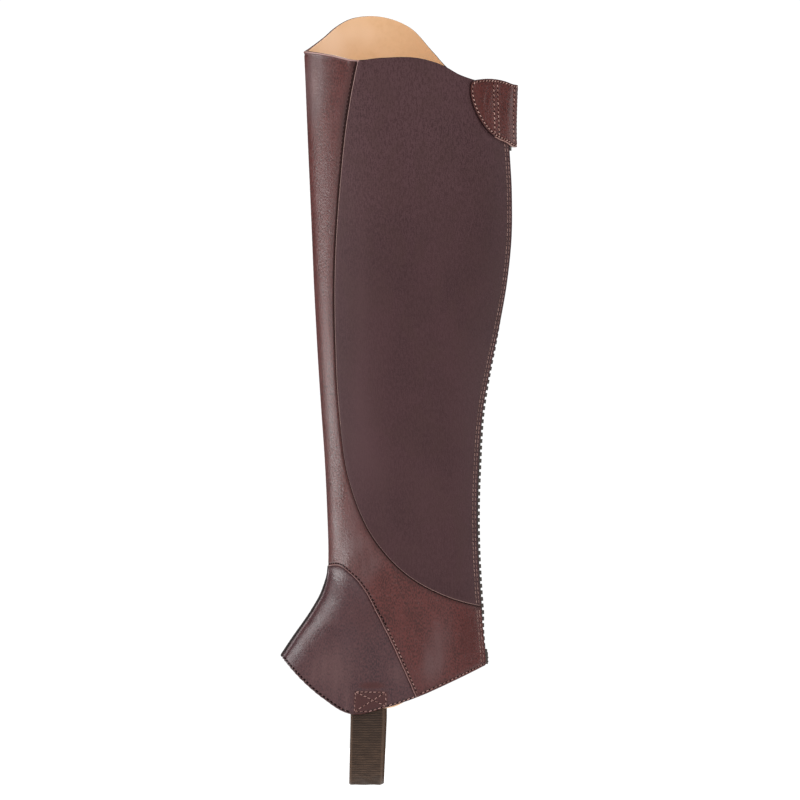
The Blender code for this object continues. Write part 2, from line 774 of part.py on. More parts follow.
def build_snap_cap(collection, sides=20):
    """The snap's round cap, seated on the tab's outer end."""
    foot = np.array(tab_point(SNAP_WAY_ROUND, SNAP_LEVEL))
    ahead = np.array(tab_point(SNAP_WAY_ROUND + 3, SNAP_LEVEL)) - foot
    up = np.array(tab_point(SNAP_WAY_ROUND, SNAP_LEVEL + 3)) - foot
    out = np.cross(ahead, up)
    out /= np.linalg.norm(out)
    if out[1] < 0:
        out = -out
    across = np.cross(up, out)
    across /= np.linalg.norm(across)
    upward = np.cross(out, across)
    profile = ((1.0, 0.0), (1.0, 0.45), (0.86, 0.8), (0.5, 0.98))
    mesh = bpy.data.meshes.new("snap_cap")
    work = bmesh.new()
    seat = foot + out * (TAB_THICK + LAYER_GAP + FACET_ROOM / 2)
    rings = []
    for wide, high in profile:
        ring = []
        for k in range(sides):
            turn = 2 * math.pi * k / sides
            spoke = (across * math.cos(turn) + upward * math.sin(turn)) * SNAP_RADIUS * wide
            ring.append(work.verts.new((seat + spoke + out * SNAP_THICK * high) * MM))
        rings.append(ring)
    for lower, upper in zip(rings, rings[1:]):
        for k in range(sides):
            work.faces.new((lower[k], lower[(k + 1) % sides], upper[(k + 1) % sides], upper[k]))
    work.faces.new(rings[0])
    work.faces.new(rings[-1])
    bmesh.ops.recalc_face_normals(work, faces=work.faces[:])
    work.to_mesh(mesh)
    work.free()
    new_object("snap_cap", mesh, DARK_METAL, collection)


# ---------------------------------------------------------------------------------------------------
# The elastic under the foot


def strap_point(across, way, depth):
    """A point of the strap's outer face, from its sewn end, way 0, to its middle under the foot, way 1."""
    top_x = STRAP_FRONT + across * (STRAP_BACK - STRAP_FRONT)
    foot_x = STRAP_FOOT_FRONT + across * (STRAP_FOOT_BACK - STRAP_FOOT_FRONT)
    leaves = wall_point(OUTER, run_of(top_x, STRAP_LEAVES), STRAP_LEAVES, -depth)
    straight = STRAP_TOP - (STRAP_BOTTOM + STRAP_CORNER)
    arc = STRAP_CORNER * math.pi / 2
    total = straight + arc + STRAP_HALF_FOOT - STRAP_CORNER
    s = way * total
    if s < straight:
        level = STRAP_TOP - s
        held = max(level, STRAP_LEAVES)
        sewn = wall_point(OUTER, run_of(top_x, held), held, -depth)
        free = np.clip((STRAP_LEAVES - level) / (STRAP_LEAVES - STRAP_BOTTOM - STRAP_CORNER), 0, 1)
        y = sewn[1] + (STRAP_HALF_FOOT - leaves[1]) * free * free * (3 - 2 * free)
    elif s < straight + arc:
        turn = (s - straight) / STRAP_CORNER
        y = STRAP_HALF_FOOT - STRAP_CORNER * (1 - math.cos(turn))
        level = STRAP_BOTTOM + STRAP_CORNER * (1 - math.sin(turn))
    else:
        y = STRAP_HALF_FOOT - STRAP_CORNER - (s - straight - arc)
        level = STRAP_BOTTOM
    x = top_x + (foot_x - top_x) * np.clip((STRAP_LEAVES - level) / (STRAP_LEAVES - STRAP_BOTTOM), 0, 1)
    return np.array((x, y, level))


def build_strap(collection, steps=14, columns=3):
    """One loop of elastic, sewn inside both vamps."""
    depth = LEATHER + LAYER_GAP + FACET_ROOM + LINING + LAYER_GAP + FACET_ROOM / 2
    half = [
        [strap_point(k / columns, step / steps, depth) for k in range(columns + 1)]
        for step in range(steps + 1)
    ]
    far = [[point * (1, -1, 1) for point in row] for row in half]
    middle = np.array((-30.0, 0.0, -370.0))
    shell("foot_strap", [half, far], ELASTIC, middle, BROWN_ELASTIC, collection)


# ---------------------------------------------------------------------------------------------------


def main():
    for obj in list(bpy.data.objects):
        bpy.data.objects.remove(obj)
    chap = bpy.data.collections.new("half_chap")
    bpy.context.scene.collection.children.link(chap)
    build_shin_panel(chap)
    build_calf_panels(chap)
    build_vamps(chap)
    build_lining(chap)
    build_piping(chap)
    build_zip_tapes(chap)
    build_zip_chain(chap)
    build_zip_ends(chap)
    build_snap_tab(chap)
    build_snap_cap(chap)
    build_strap(chap)


main()
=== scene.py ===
"""The looks of a hollow half chap for the right leg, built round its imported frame.

X runs from the toe (-) to the zip at the back (+), Y from the inner side (-) to the outer side (+) and
Z up. Sizes are in millimetres and become metres where a mesh is made. A place on the wall is its way
round from the middle of the shin, minus on the inner side, and its level.
"""

import enum
import logging
import math
from dataclasses import dataclass, field
from typing import Callable, Iterable, Optional, Sequence, Union

import bmesh
import bpy
import numpy as np
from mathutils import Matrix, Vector
from mathutils.geometry import delaunay_2d_cdt
from mathutils.kdtree import KDTree


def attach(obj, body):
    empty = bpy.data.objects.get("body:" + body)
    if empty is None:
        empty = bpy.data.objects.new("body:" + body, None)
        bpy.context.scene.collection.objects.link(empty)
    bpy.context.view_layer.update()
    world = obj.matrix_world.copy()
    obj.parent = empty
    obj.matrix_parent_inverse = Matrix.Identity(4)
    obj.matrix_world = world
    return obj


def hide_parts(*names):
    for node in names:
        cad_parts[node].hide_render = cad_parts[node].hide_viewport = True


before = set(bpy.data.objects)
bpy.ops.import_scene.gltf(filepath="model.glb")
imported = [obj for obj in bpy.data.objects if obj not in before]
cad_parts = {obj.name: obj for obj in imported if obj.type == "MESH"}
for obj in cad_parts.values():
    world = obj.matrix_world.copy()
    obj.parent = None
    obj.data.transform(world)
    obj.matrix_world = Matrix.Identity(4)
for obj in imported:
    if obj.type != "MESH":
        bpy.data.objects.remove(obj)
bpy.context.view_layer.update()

MM = 0.001
TINY = 1e-12
FAR = 9.0
SHARP = math.radians(50)
WHITE = (1.0, 1.0, 1.0)
INNER_CLOTH = (0, 0, 0.004)
BODY = "root"
Points = np.ndarray
Rows = Sequence[Sequence[float]]
Colour = Sequence[float]
Number = Union["Value", float]

logging.basicConfig(level=logging.INFO, format="%(message)s")
log = logging.getLogger("half_chap")


class Side(enum.IntEnum):
    """The chap's two sides, as the sign of Y."""

    INNER = -1
    OUTER = 1


WORDS = {Side.INNER: "inner", Side.OUTER: "outer"}


# ---- Curves in the plane ----


def hermite(at: Points, knots: Points, values: Points) -> Points:
    """Smooth values between rising knots, with the slope at each that a parabola through it has.

    Args:
        at: Where to read.
        knots: The rising places of the known values.
        values: The known values, one row to a knot.

    Returns:
        The values at those places.
    """
    knots, values = np.asarray(knots, float), np.asarray(values, float)
    slope = np.gradient(values, knots, axis=0, edge_order=2 if len(knots) > 2 else 1)
    at = np.clip(np.asarray(at, float), knots[0], knots[-1])
    i = np.clip(np.searchsorted(knots, at, side="right") - 1, 0, len(knots) - 2)
    width = knots[i + 1] - knots[i]
    t = (at - knots[i]) / width
    if values.ndim > 1:
        width, t = width[..., None], t[..., None]
    return (
        values[i] * (2 * t**3 - 3 * t**2 + 1)
        + values[i + 1] * (3 * t**2 - 2 * t**3)
        + slope[i] * width * (t**3 - 2 * t**2 + t)
        + slope[i + 1] * width * (t**3 - t**2)
    )


def lengths(line: Points) -> Points:
    """The way along a line to each of its points."""
    steps = np.linalg.norm(np.diff(line, axis=0), axis=1)
    return np.concatenate(([0.0], np.cumsum(steps)))


def even(line: Points, spacing: float) -> Points:
    """A line's points at an even spacing, ends included.

    Args:
        line: The line's own points.
        spacing: About how far apart the new points are.

    Returns:
        The new points.
    """
    line = np.asarray(line, float)
    way = lengths(line)
    at = np.linspace(0, way[-1], max(2, round(way[-1] / spacing) + 1))
    return np.column_stack([np.interp(at, way, column) for column in line.T])


def smooth_line(points: Rows, count: int = 600) -> Points:
    """A smooth line through a few points."""
    way = lengths(np.asarray(points, float))
    return hermite(np.linspace(0, way[-1], count), way, points)


def unit(rows: Points) -> Points:
    """Each row made one long."""
    return rows / (np.linalg.norm(rows, axis=1)[:, None] + TINY)


def aside(line: Points, distance: float) -> Points:
    """A line moved to the left of its direction."""
    ahead = unit(np.gradient(line, axis=0))
    return line + distance * np.column_stack((-ahead[:, 1], ahead[:, 0]))


def turn_of(loop: Points) -> int:
    """1 for a closed loop that runs anticlockwise, -1 for one that runs clockwise."""
    after = np.roll(loop, -1, axis=0)
    return 1 if np.sum(loop[:, 0] * after[:, 1] - loop[:, 1] * after[:, 0]) > 0 else -1


def crossing(line: Points, x: float) -> tuple[float, float]:
    """Where a side-view line passes an x."""
    return x, float(np.interp(x, line[:, 0], line[:, 1]))


def joined(*lines: Points) -> Points:
    """One line of several that meet end to end."""
    return np.concatenate([lines[0], *[line[1:] for line in lines[1:]]])


def mirrored(side: int, **lines: Points) -> dict[str, Points]:
    """Lines of (way, level) on the chap's one or other side, by name."""
    return {key: line * (int(side), 1) for key, line in lines.items()}


def inside(loop: Points, places: Points) -> Points:
    """Which places lie inside a closed loop.

    Args:
        loop: The loop's corners.
        places: The places to test.

    Returns:
        True or False for each place.
    """
    found = np.zeros(len(places), bool)
    x, y = places.T
    for a, b in zip(loop, np.roll(loop, -1, axis=0)):
        crosses = (a[1] > y) != (b[1] > y)
        if crosses.any():
            found ^= crosses & (x < (b[0] - a[0]) * (y - a[1]) / (b[1] - a[1] + TINY) + a[0])
    return found


def rise(value: Points, low: float, high: float) -> Points:
    """0 below low, 1 above high and a smooth step between."""
    t = np.clip((value - low) / (high - low), 0, 1)
    return t * t * (3 - 2 * t)


def look_up(table: Points, row: Points, column: Points) -> Points:
    """What a table holds between its rows and columns.

    Args:
        table: The points that it holds, by row and column.
        row: The rows to read, whole or between two.
        column: The columns to read.

    Returns:
        The point at each row and column.
    """
    row = np.clip(row, 0, len(table) - 1.001)
    column = np.clip(column, 0, table.shape[1] - 1.001)
    i, j = row.astype(int), column.astype(int)
    u, v = (row - i)[:, None], (column - j)[:, None]
    found = (1 - u) * ((1 - v) * table[i, j] + v * table[i, j + 1])
    return found + u * ((1 - v) * table[i + 1, j] + v * table[i + 1, j + 1])


def search_tree(points: Points) -> KDTree:
    """A tree that finds the nearest of some points, flat or in space.

    Args:
        points: The points.

    Returns:
        The tree.
    """
    points = np.pad(points, ((0, 0), (0, 3 - points.shape[1])))
    tree = KDTree(len(points))
    for k, point in enumerate(points):
        tree.insert(point, k)
    tree.balance()
    return tree


def gaps(tree: KDTree, places: Points) -> Points:
    """How far each flat place is from the nearest point of a tree."""
    return np.array([tree.find((x, y, 0))[2] for x, y in places])


# ---- Surfaces that cloth lies on ----


class Surface:
    """A curved surface with a way round and a level, which flat cloth is laid on."""

    facing: int = 1
    step: float = 0.4

    def at(self, places: Points) -> Points:
        """The surface's points, in millimetres, at (way, level) places."""
        raise NotImplementedError

    def flatten(self, places: Points) -> Points:
        """Where the grain of the leather puts (way, level) places on its flat hide."""
        return places

    def normals(self, places: Points) -> Points:
        """The surface's outward normals at (way, level) places."""
        ahead, rising = [self.at(places + gap) - self.at(places - gap) for gap in np.eye(2) * self.step]
        return unit(self.facing * np.cross(rising, ahead))

    def place(self, places: Points, out: Union[float, Points] = 0.0) -> Points:
        """Points that stand out from the surface.

        Args:
            places: The (way, level) places.
            out: How far out along the normal, in millimetres.

        Returns:
            The points, in millimetres.
        """
        places = np.asarray(places, float)
        return self.at(places) + np.reshape(out, (-1, 1)) * self.normals(places)


@dataclass
class Wall(Surface):
    """The chap's wall, a stack of level sections with a blunt front and an open back.

    Each section row holds the level, the front, the back, where it is widest, how wide, and how blunt
    its front is.
    """

    sections: Rows = (
        (150, -76.4, 67.8, 0, 49.0, 21), (110, -74.2, 68.6, 0, 50.0, 21), (60, -72.0, 69.0, 3, 52.0, 21),
        (10, -69.8, 71.6, 6, 53.0, 20), (-20, -68.6, 71.4, 6, 52.5, 20), (-50, -67.4, 68.4, 5, 51.5, 19),
        (-80, -65.8, 63.0, 4, 49.5, 19), (-110, -64.1, 56.6, 2, 47.0, 18), (-140, -62.2, 51.4, 0, 44.5, 18),
        (-175, -59.8, 48.5, -2, 42.0, 17), (-210, -58.1, 47.3, -3, 39.5, 17),
        (-246, -57.3, 48.0, -3, 38.5, 16), (-257, -57.8, 48.6, -3, 38.5, 15),
        (-268, -61.0, 49.3, -4, 38.5, 13), (-280, -67.6, 50.2, -5, 38.5, 12),
        (-300, -81.4, 52.1, -7, 39.0, 11), (-320, -94.6, 53.6, -10, 39.5, 11),
        (-355, -118.0, 55.0, -18, 40.0, 12),
    )
    front_reach: float = 0.50
    back_reach: float = 0.46
    edge_reach: float = 0.23
    edge_slope: float = 1.7
    edge_half_gap: float = 5.5
    ankle: float = -240.0
    bow_steps: int = 240
    share_count: int = 481
    level_step: float = 1.0

    def __post_init__(self) -> None:
        """Reads the sections once, so that places are looked up quickly."""
        rows = np.array(self.sections[::-1], float)
        self.levels = np.arange(rows[0, 0], rows[-1, 0] + self.level_step, self.level_step)
        self.columns = hermite(self.levels, rows[:, 0], rows[:, 1:])
        self.shares = np.linspace(0, 1, self.share_count)
        self.reaches = np.zeros(len(self.levels))
        self.table = np.zeros((len(self.levels), self.share_count, 2))
        for k, values in enumerate(self.columns):
            line = self._half_section(*values)
            way = lengths(line)
            self.reaches[k] = way[-1]
            for axis in (0, 1):
                self.table[k, :, axis] = np.interp(self.shares * way[-1], way, line[:, axis])

    def _half_section(self, front: float, back: float, widest: float, wide: float, blunt: float) -> Points:
        """The outer half of one section.

        Args:
            front: The x of its front.
            back: The x of its back edge.
            widest: The x where it is widest.
            wide: How wide it is there, from the middle.
            blunt: How blunt its front is.

        Returns:
            Its line, from the middle of the front to the back edge.
        """
        reach = self.edge_reach * (back - widest)
        ahead, behind = self.front_reach * (widest - front), self.back_reach * (back - widest)
        edge, lean = (back, self.edge_half_gap), (back - reach, self.edge_half_gap + self.edge_slope * reach)
        bows = (
            ((front, 0), (front, blunt), (widest - ahead, wide), (widest, wide)),
            ((widest, wide), (widest + behind, wide), lean, edge),
        )
        t = np.linspace(0, 1, self.bow_steps)[:, None]
        weights = ((1 - t) ** 3, 3 * t * (1 - t) ** 2, 3 * t**2 * (1 - t), t**3)
        return joined(*[sum(w * np.array(p) for w, p in zip(weights, bow)) for bow in bows])

    def at(self, places: Points) -> Points:
        """The wall's points.

        Args:
            places: The (way, level) places.

        Returns:
            The points, in millimetres.
        """
        way, level = np.asarray(places, float).T
        share = np.abs(way) / self.reach(level)
        row = (level - self.levels[0]) / self.level_step
        x, y = look_up(self.table, row, share * (self.share_count - 1)).T
        return np.column_stack((x, np.sign(way) * y, level))

    def flatten(self, places: Points) -> Points:
        """Where the grain of the leather puts (way, level) places, with no lean below the ankle."""
        lean = self.reach(np.minimum(places[:, 1], self.ankle)) - self.reach(self.ankle)
        return places - np.sign(places) * np.column_stack((lean, 0 * lean))

    def reach(self, level: Union[float, Points]) -> Points:
        """How far round the back edge is."""
        return np.interp(level, self.levels, self.reaches)

    def front(self, level: Union[float, Points]) -> Points:
        """The x of the middle of the front."""
        return np.interp(level, self.levels, self.columns[:, 0])

    def back(self, level: Union[float, Points]) -> Points:
        """The x of the back edge."""
        return np.interp(level, self.levels, self.columns[:, 1])

    def run_of(self, x: float, level: float) -> float:
        """How far round a point is that the side view shows at x."""
        k = int(np.clip(round((level - self.levels[0]) / self.level_step), 0, len(self.levels) - 1))
        return float(np.interp(x, self.table[k, :, 0], self.shares) * self.reach(level))

    def on_wall(self, line: Iterable[Sequence[float]], side: int = 1) -> Points:
        """A side-view line of (x, level) as (way, level) on one side."""
        return np.array([(side * self.run_of(x, level), level) for x, level in line])


# ---- The cut ----


@dataclass
class Pattern:
    """The lines that the pieces are cut along, as (x, level) in side view, from front to back."""

    wall: Wall
    rim_front: float = 111.3
    rim_back: float = 88.0
    inner_rim: Rows = (
        (-56, 108.2), (-38.5, 104.4), (-20, 105.8), (8, 105.2), (23, 100.7), (35, 94.2), (48, 90.0),
    )
    outer_rim: Rows = (
        (-67.2, 116.4), (-60.2, 122.0), (-54.0, 127.6), (-44.0, 133.8), (-27, 136.6), (0, 128.6),
        (16, 112.0), (28.5, 99.0), (44, 91.5),
    )
    hem_front: float = -313.0
    hem_back: float = -318.5
    hem: Rows = ((-75, -329.7), (-61.6, -341.0), (-42, -352.2), (-17, -347.8), (4, -341.0), (30, -329.7))
    calf_seam_top: float = -36.4
    calf_seam_back: float = -277.0
    calf_seam: Rows = (
        (-44.0, 63.0), (-48.7, 21.0), (-52.4, -35.0), (-52.3, -90.0), (-49.7, -141.0), (-42.9, -188.0),
        (-33.0, -216.0), (-18.4, -239.0), (-0.8, -256.0), (21.5, -268.5),
    )
    vamp_seam_front: float = -249.4
    vamp_seam_hem: float = 4.2
    vamp_seam: Rows = (
        (-50.4, -248.8), (-39.8, -255.8), (-32.2, -265.2), (-23.8, -281.0), (-15.4, -297.5), (-5.6, -318.5),
    )

    def _side_line(self, points: Rows, front: float, back: float) -> Points:
        """A smooth side-view line from the middle of the front to the back edge."""
        ends = ((self.wall.front(front), front), (self.wall.back(back), back))
        return smooth_line([ends[0], *points, ends[1]])

    def rim_line(self, side: int) -> Points:
        """The top edge in side view."""
        points = self.inner_rim if side == Side.INNER else self.outer_rim
        return self._side_line(points, self.rim_front, self.rim_back)

    def hem_line(self) -> Points:
        """The bottom edge in side view."""
        return self._side_line(self.hem, self.hem_front, self.hem_back)

    @staticmethod
    def between(line: Points, first: float, last: float) -> Points:
        """The stretch of a side-view line from one x to another."""
        kept = line[(line[:, 0] > first) & (line[:, 0] < last)]
        return np.vstack((crossing(line, first), kept, crossing(line, last)))

    def calf_run(self, side: int, shift: float = 0.0) -> Points:
        """The calf seam as (run, level), from the rim down and round to the back edge.

        Args:
            side: The side, for its own rim.
            shift: How far it is moved towards the calf panel.

        Returns:
            The seam's points.
        """
        top = crossing(self.rim_line(side), self.calf_seam_top)
        end = (self.wall.back(self.calf_seam_back), self.calf_seam_back)
        line = self.wall.on_wall(smooth_line([top, *self.calf_seam, end]))
        return aside(line, shift)

    def vamp_run(self, shift: float = 0.0, start: float = 0.0) -> Points:
        """The vamp seam as (run, level), from the middle of the instep down to the hem.

        Args:
            shift: How far it is moved towards the quarter.
            start: How far round it begins.

        Returns:
            The seam's points.
        """
        foot = crossing(self.hem_line(), self.vamp_seam_hem)
        top = (self.wall.front(self.vamp_seam_front), self.vamp_seam_front)
        line = aside(self.wall.on_wall(smooth_line([top, *self.vamp_seam, foot])), shift)
        kept = line[line[:, 0] > start + 0.2]
        return np.concatenate(([(start, line[0, 1])], kept))

    def back_edge(self, top: float, bottom: float, inset: float = 0.0) -> Points:
        """The back edge as (run, level), or a line that lies inside it."""
        levels = np.linspace(top, bottom, max(3, round(abs(top - bottom) / 2)))
        return np.column_stack((self.wall.reach(levels) - inset, levels))


# ---- Materials ----


class Value:
    """One number, colour or vector inside a material, with the arithmetic that adds Math nodes."""

    def __init__(self, nodes: "Nodes", socket: bpy.types.NodeSocket) -> None:
        """Wraps one output socket of a tree."""
        self.nodes = nodes
        self.socket = socket

    def _math(self, operation: str, *inputs: Number) -> "Value":
        """One Math node on this value's tree."""
        return self.nodes.node("ShaderNodeMath", {"operation": operation}, dict(enumerate(inputs)))

    def __add__(self, other: Number) -> "Value":
        """This plus the other."""
        return self._math("ADD", self, other)

    def __radd__(self, other: float) -> "Value":
        """A number plus this."""
        return self._math("ADD", other, self)

    def __sub__(self, other: Number) -> "Value":
        """This less the other."""
        return self._math("SUBTRACT", self, other)

    def __rsub__(self, other: float) -> "Value":
        """A number less this."""
        return self._math("SUBTRACT", other, self)

    def __mul__(self, other: Number) -> "Value":
        """This times the other."""
        return self._math("MULTIPLY", self, other)

    def __rmul__(self, other: float) -> "Value":
        """A number times this."""
        return self._math("MULTIPLY", other, self)

    def sine(self) -> "Value":
        """The sine of this."""
        return self._math("SINE", self)

    def part(self, axis: str) -> "Value":
        """One part of this vector."""
        return self.nodes.node("ShaderNodeSeparateXYZ", None, {0: self}, output=axis)

    def step(self, low: float, high: float) -> "Value":
        """0 at low, 1 at high and a smooth step between, which may fall as well as rise."""
        inputs = {"Value": self, "From Min": low, "From Max": high}
        return self.nodes.node("ShaderNodeMapRange", {"interpolation_type": "SMOOTHSTEP"}, inputs)


class Nodes:
    """A node tree that is built up a node at a time."""

    def __init__(self, tree: bpy.types.NodeTree) -> None:
        """Takes over a tree and empties it."""
        self.tree = tree
        self.tree.nodes.clear()

    def feed(self, made: bpy.types.Node, inputs: dict[Union[str, int], object]) -> None:
        """Sets or links a node's sockets.

        Args:
            made: The node.
            inputs: The number, vector or value of each socket, by its name or number.
        """
        for key, value in inputs.items():
            if isinstance(value, Value):
                self.tree.links.new(value.socket, made.inputs[key])
            else:
                made.inputs[key].default_value = value

    def node(
        self,
        kind: str,
        settings: Optional[dict[str, object]] = None,
        inputs: Optional[dict[Union[str, int], object]] = None,
        output: Union[int, str] = 0,
    ) -> Value:
        """Adds one node.

        Args:
            kind: The node's type.
            settings: Its settings, such as an operation, which are set first.
            inputs: The numbers, vectors or values of its sockets.
            output: Which of its outputs to return.

        Returns:
            That output.
        """
        made = self.tree.nodes.new(kind)
        for key, setting in (settings or {}).items():
            setattr(made, key, setting)
        self.feed(made, inputs or {})
        return Value(self, made.outputs[output] if made.outputs else None)


class Shader(Nodes):
    """A material's node tree, built round one Principled shader."""

    def __init__(self, name: str) -> None:
        """Makes the material and its main shader.

        Args:
            name: The material's name.
        """
        self.material = bpy.data.materials.new(name)
        self.material.use_nodes = True
        super().__init__(self.material.node_tree)
        made = self.node("ShaderNodeBsdfPrincipled")
        self.node("ShaderNodeOutputMaterial", None, {"Surface": made})
        self.main = made.socket.node

    def own(self, name: str) -> Value:
        """A number that each point of the mesh holds."""
        return self.node("ShaderNodeAttribute", {"attribute_name": name}, output="Fac")

    def cloth(self) -> Value:
        """The mesh's own flat cloth coordinates, in metres."""
        return self.node("ShaderNodeAttribute", {"attribute_name": "cloth"}, output="Vector")

    def stretched(self, vector: Value, scale: Sequence[float]) -> Value:
        """A vector with each part multiplied by its own number."""
        return self.node("ShaderNodeVectorMath", {"operation": "MULTIPLY"}, {0: vector, 1: scale})

    def noise(self, vector: Value, size: float, detail: float = 2.0, distortion: float = 0.0) -> Value:
        """Soft noise from 0 to 1, with features of about one size in millimetres."""
        inputs = {"Vector": vector, "Scale": 1 / (size * MM), "Detail": detail, "Distortion": distortion}
        return self.node("ShaderNodeTexNoise", None, inputs)

    def cells(self, vector: Value, size: float, feature: str = "F1") -> Value:
        """The distance inside cells of about one size in millimetres."""
        inputs = {"Vector": vector, "Scale": 1 / (size * MM)}
        return self.node("ShaderNodeTexVoronoi", {"feature": feature}, inputs)

    def mix(self, first: object, second: object, share: Number) -> Value:
        """A colour between two, with the second's share."""
        inputs = {0: share, 6: rgba(first), 7: rgba(second)}
        return self.node("ShaderNodeMix", {"data_type": "RGBA"}, inputs, output=2)

    def layers(self, colour: object, *layers: tuple[Colour, Number]) -> Value:
        """Colours laid over one another.

        Args:
            colour: The lowest.
            layers: Each further colour with its share.

        Returns:
            The colour that shows.
        """
        for tint, share in layers:
            colour = self.mix(colour, tint, share)
        return colour

    def bump(self, height: Value, distance: float, strength: float, under: Optional[Value] = None) -> Value:
        """A normal with small relief.

        Args:
            height: The relief, from 0 to 1.
            distance: How high 1 is, in millimetres.
            strength: The share of it that shows.
            under: A normal that it adds to.

        Returns:
            The normal.
        """
        inputs = {"Height": height, "Distance": distance * MM, "Strength": strength}
        if under is not None:
            inputs["Normal"] = under
        return self.node("ShaderNodeBump", None, inputs)

    def set(self, **sockets: object) -> bpy.types.Material:
        """Sets the main shader's sockets and returns the finished material."""
        self.feed(self.main, {key.replace("_", " "): value for key, value in sockets.items()})
        return self.material


def rgba(colour: Union[Colour, Value]) -> Union[Colour, Value]:
    """A plain colour with its alpha, or a value as it is."""
    return colour if isinstance(colour, Value) else (*colour, 1.0)


@dataclass(frozen=True)
class SmoothLeather:
    """Polished cowhide: fine grain, soft streaks, painted shade by its seams, a pale edge with painted
    highlight.
    """

    name: str = "smooth_leather"
    body: Colour = (0.091, 0.0190, 0.0164)
    deep: Colour = (0.038, 0.0074, 0.0062)
    grey: Colour = (0.066, 0.0240, 0.0250)
    # The next colour darkens raw edges and sewn rows, and is the painted shade beside seams and of dark
    # marks.
    shade_and_dark_edge: Colour = (0.014, 0.0024, 0.0022)
    # The next colour is the pale edge line, partly a painted highlight, and the highlight of strong light
    # marks.
    wear_and_highlight: Colour = (0.40, 0.240, 0.220)
    # The next colour is the pale flecks and scars, and the painted highlight of the light marks.
    fleck_and_highlight: Colour = (0.094, 0.044, 0.044)
    # The next colour is the painted shade of the dark marks.
    ruddy_shade: Colour = (0.062, 0.0115, 0.0095)
    roughness: float = 0.33
    streak: float = 1.0
    # How dark the painted shade beside a seam is.
    seam_shadow_strength: float = 1.0
    swell: float = 0.3
    fleck: float = 0.5
    pebble: float = 0.75

    def material(self) -> bpy.types.Material:
        """Makes the finish.

        Returns:
            The material.
        """
        shader = Shader(self.name)
        cloth = shader.cloth()
        broad = shader.noise(shader.stretched(cloth, (1.0, 0.45, 1.0)), 34, 3.0, 0.6)
        streaks = shader.noise(shader.stretched(cloth, (1.0, 0.16, 1.0)), 5.5, 3.0, 0.4)
        clouds = shader.noise(cloth, 10, 4.0, 0.5)
        grain = shader.noise(cloth, 1.7, 2.5)
        pores = shader.noise(shader.stretched(cloth, (1.0, 0.45, 1.0)), 0.80, 2.0)
        tone = broad * 0.16 + streaks * (0.22 * self.streak) + clouds * 0.14 + grain * 0.22 + pores * 0.8
        middle = 0.66 + 0.11 * self.streak
        vein = shader.noise(shader.stretched(cloth, (1.0, 0.7, 1.0)), 15, 3.0, 1.2) - 0.5
        scars = (vein * vein).step(0.00012, 0.0) * clouds.step(0.5, 0.66)
        flecks = grain.step(0.55, 0.72) * clouds.step(0.3, 0.6)
        shade = shader.own("shade")
        # Towards the top of the wall the painted shade beside a seam reaches further.
        high = cloth.part("Y").step(-140 * MM, -70 * MM)
        bed = shader.own("bed") * (1.0 - high * 0.55)
        # Painted shade where a piece lies under another piece's edge.
        beside = bed.step(1.0, 0.4) * 0.65 + bed.step(4.2, 0.6) * 0.33
        colour = shader.layers(
            self.deep,
            (self.body, tone.step(middle - 0.12, middle + 0.06)),
            (self.grey, broad.step(0.5, 0.72) * 0.5),
            (self.fleck_and_highlight, scars * 0.5 + flecks * self.fleck),
            # Painted highlight of the light marks, broken up by the grain.
            (self.fleck_and_highlight, shade.step(0.0, -1.0) * (pores * 1.6 + streaks * 2.4 - 1.0)),
            # A stronger painted highlight where the light marks are strongest.
            (self.wear_and_highlight, shade.step(-1.0, -3.0) * (pores * 0.6 + 0.2)),
            # Painted shade of the dark marks, redder where faint and darkest where strong.
            (self.ruddy_shade, shade.step(0.0, 0.5) * 0.85),
            (self.shade_and_dark_edge, shade.step(0.3, 1.2)),
            # Painted shade beside the seams.
            (self.shade_and_dark_edge, beside * self.seam_shadow_strength),
            # Sewn rows and raw edges darker, partly painted shade in the rows' grooves.
            (self.shade_and_dark_edge, shader.own("sewn") * 0.45),
            # The pale edge line, partly a pale raw edge and partly a painted highlight on the turned edge.
            (self.wear_and_highlight, shader.own("wear_and_highlight") * (0.45 + grain * 0.5)),
        )
        roughness = self.roughness + (clouds - 0.5) * 0.16 + (streaks - 0.5) * 0.12 + beside * 0.6
        relief = shader.bump(pores, 0.10, 0.5)
        relief = shader.bump(grain, 0.30, self.pebble, relief)
        relief = shader.bump(clouds, 0.7, self.swell, relief)
        return shader.set(
            Base_Color=colour,
            Roughness=roughness,
            Normal=relief,
            Specular_IOR_Level=0.28,
            Coat_Weight=0.03,
            Coat_Roughness=0.25,
        )


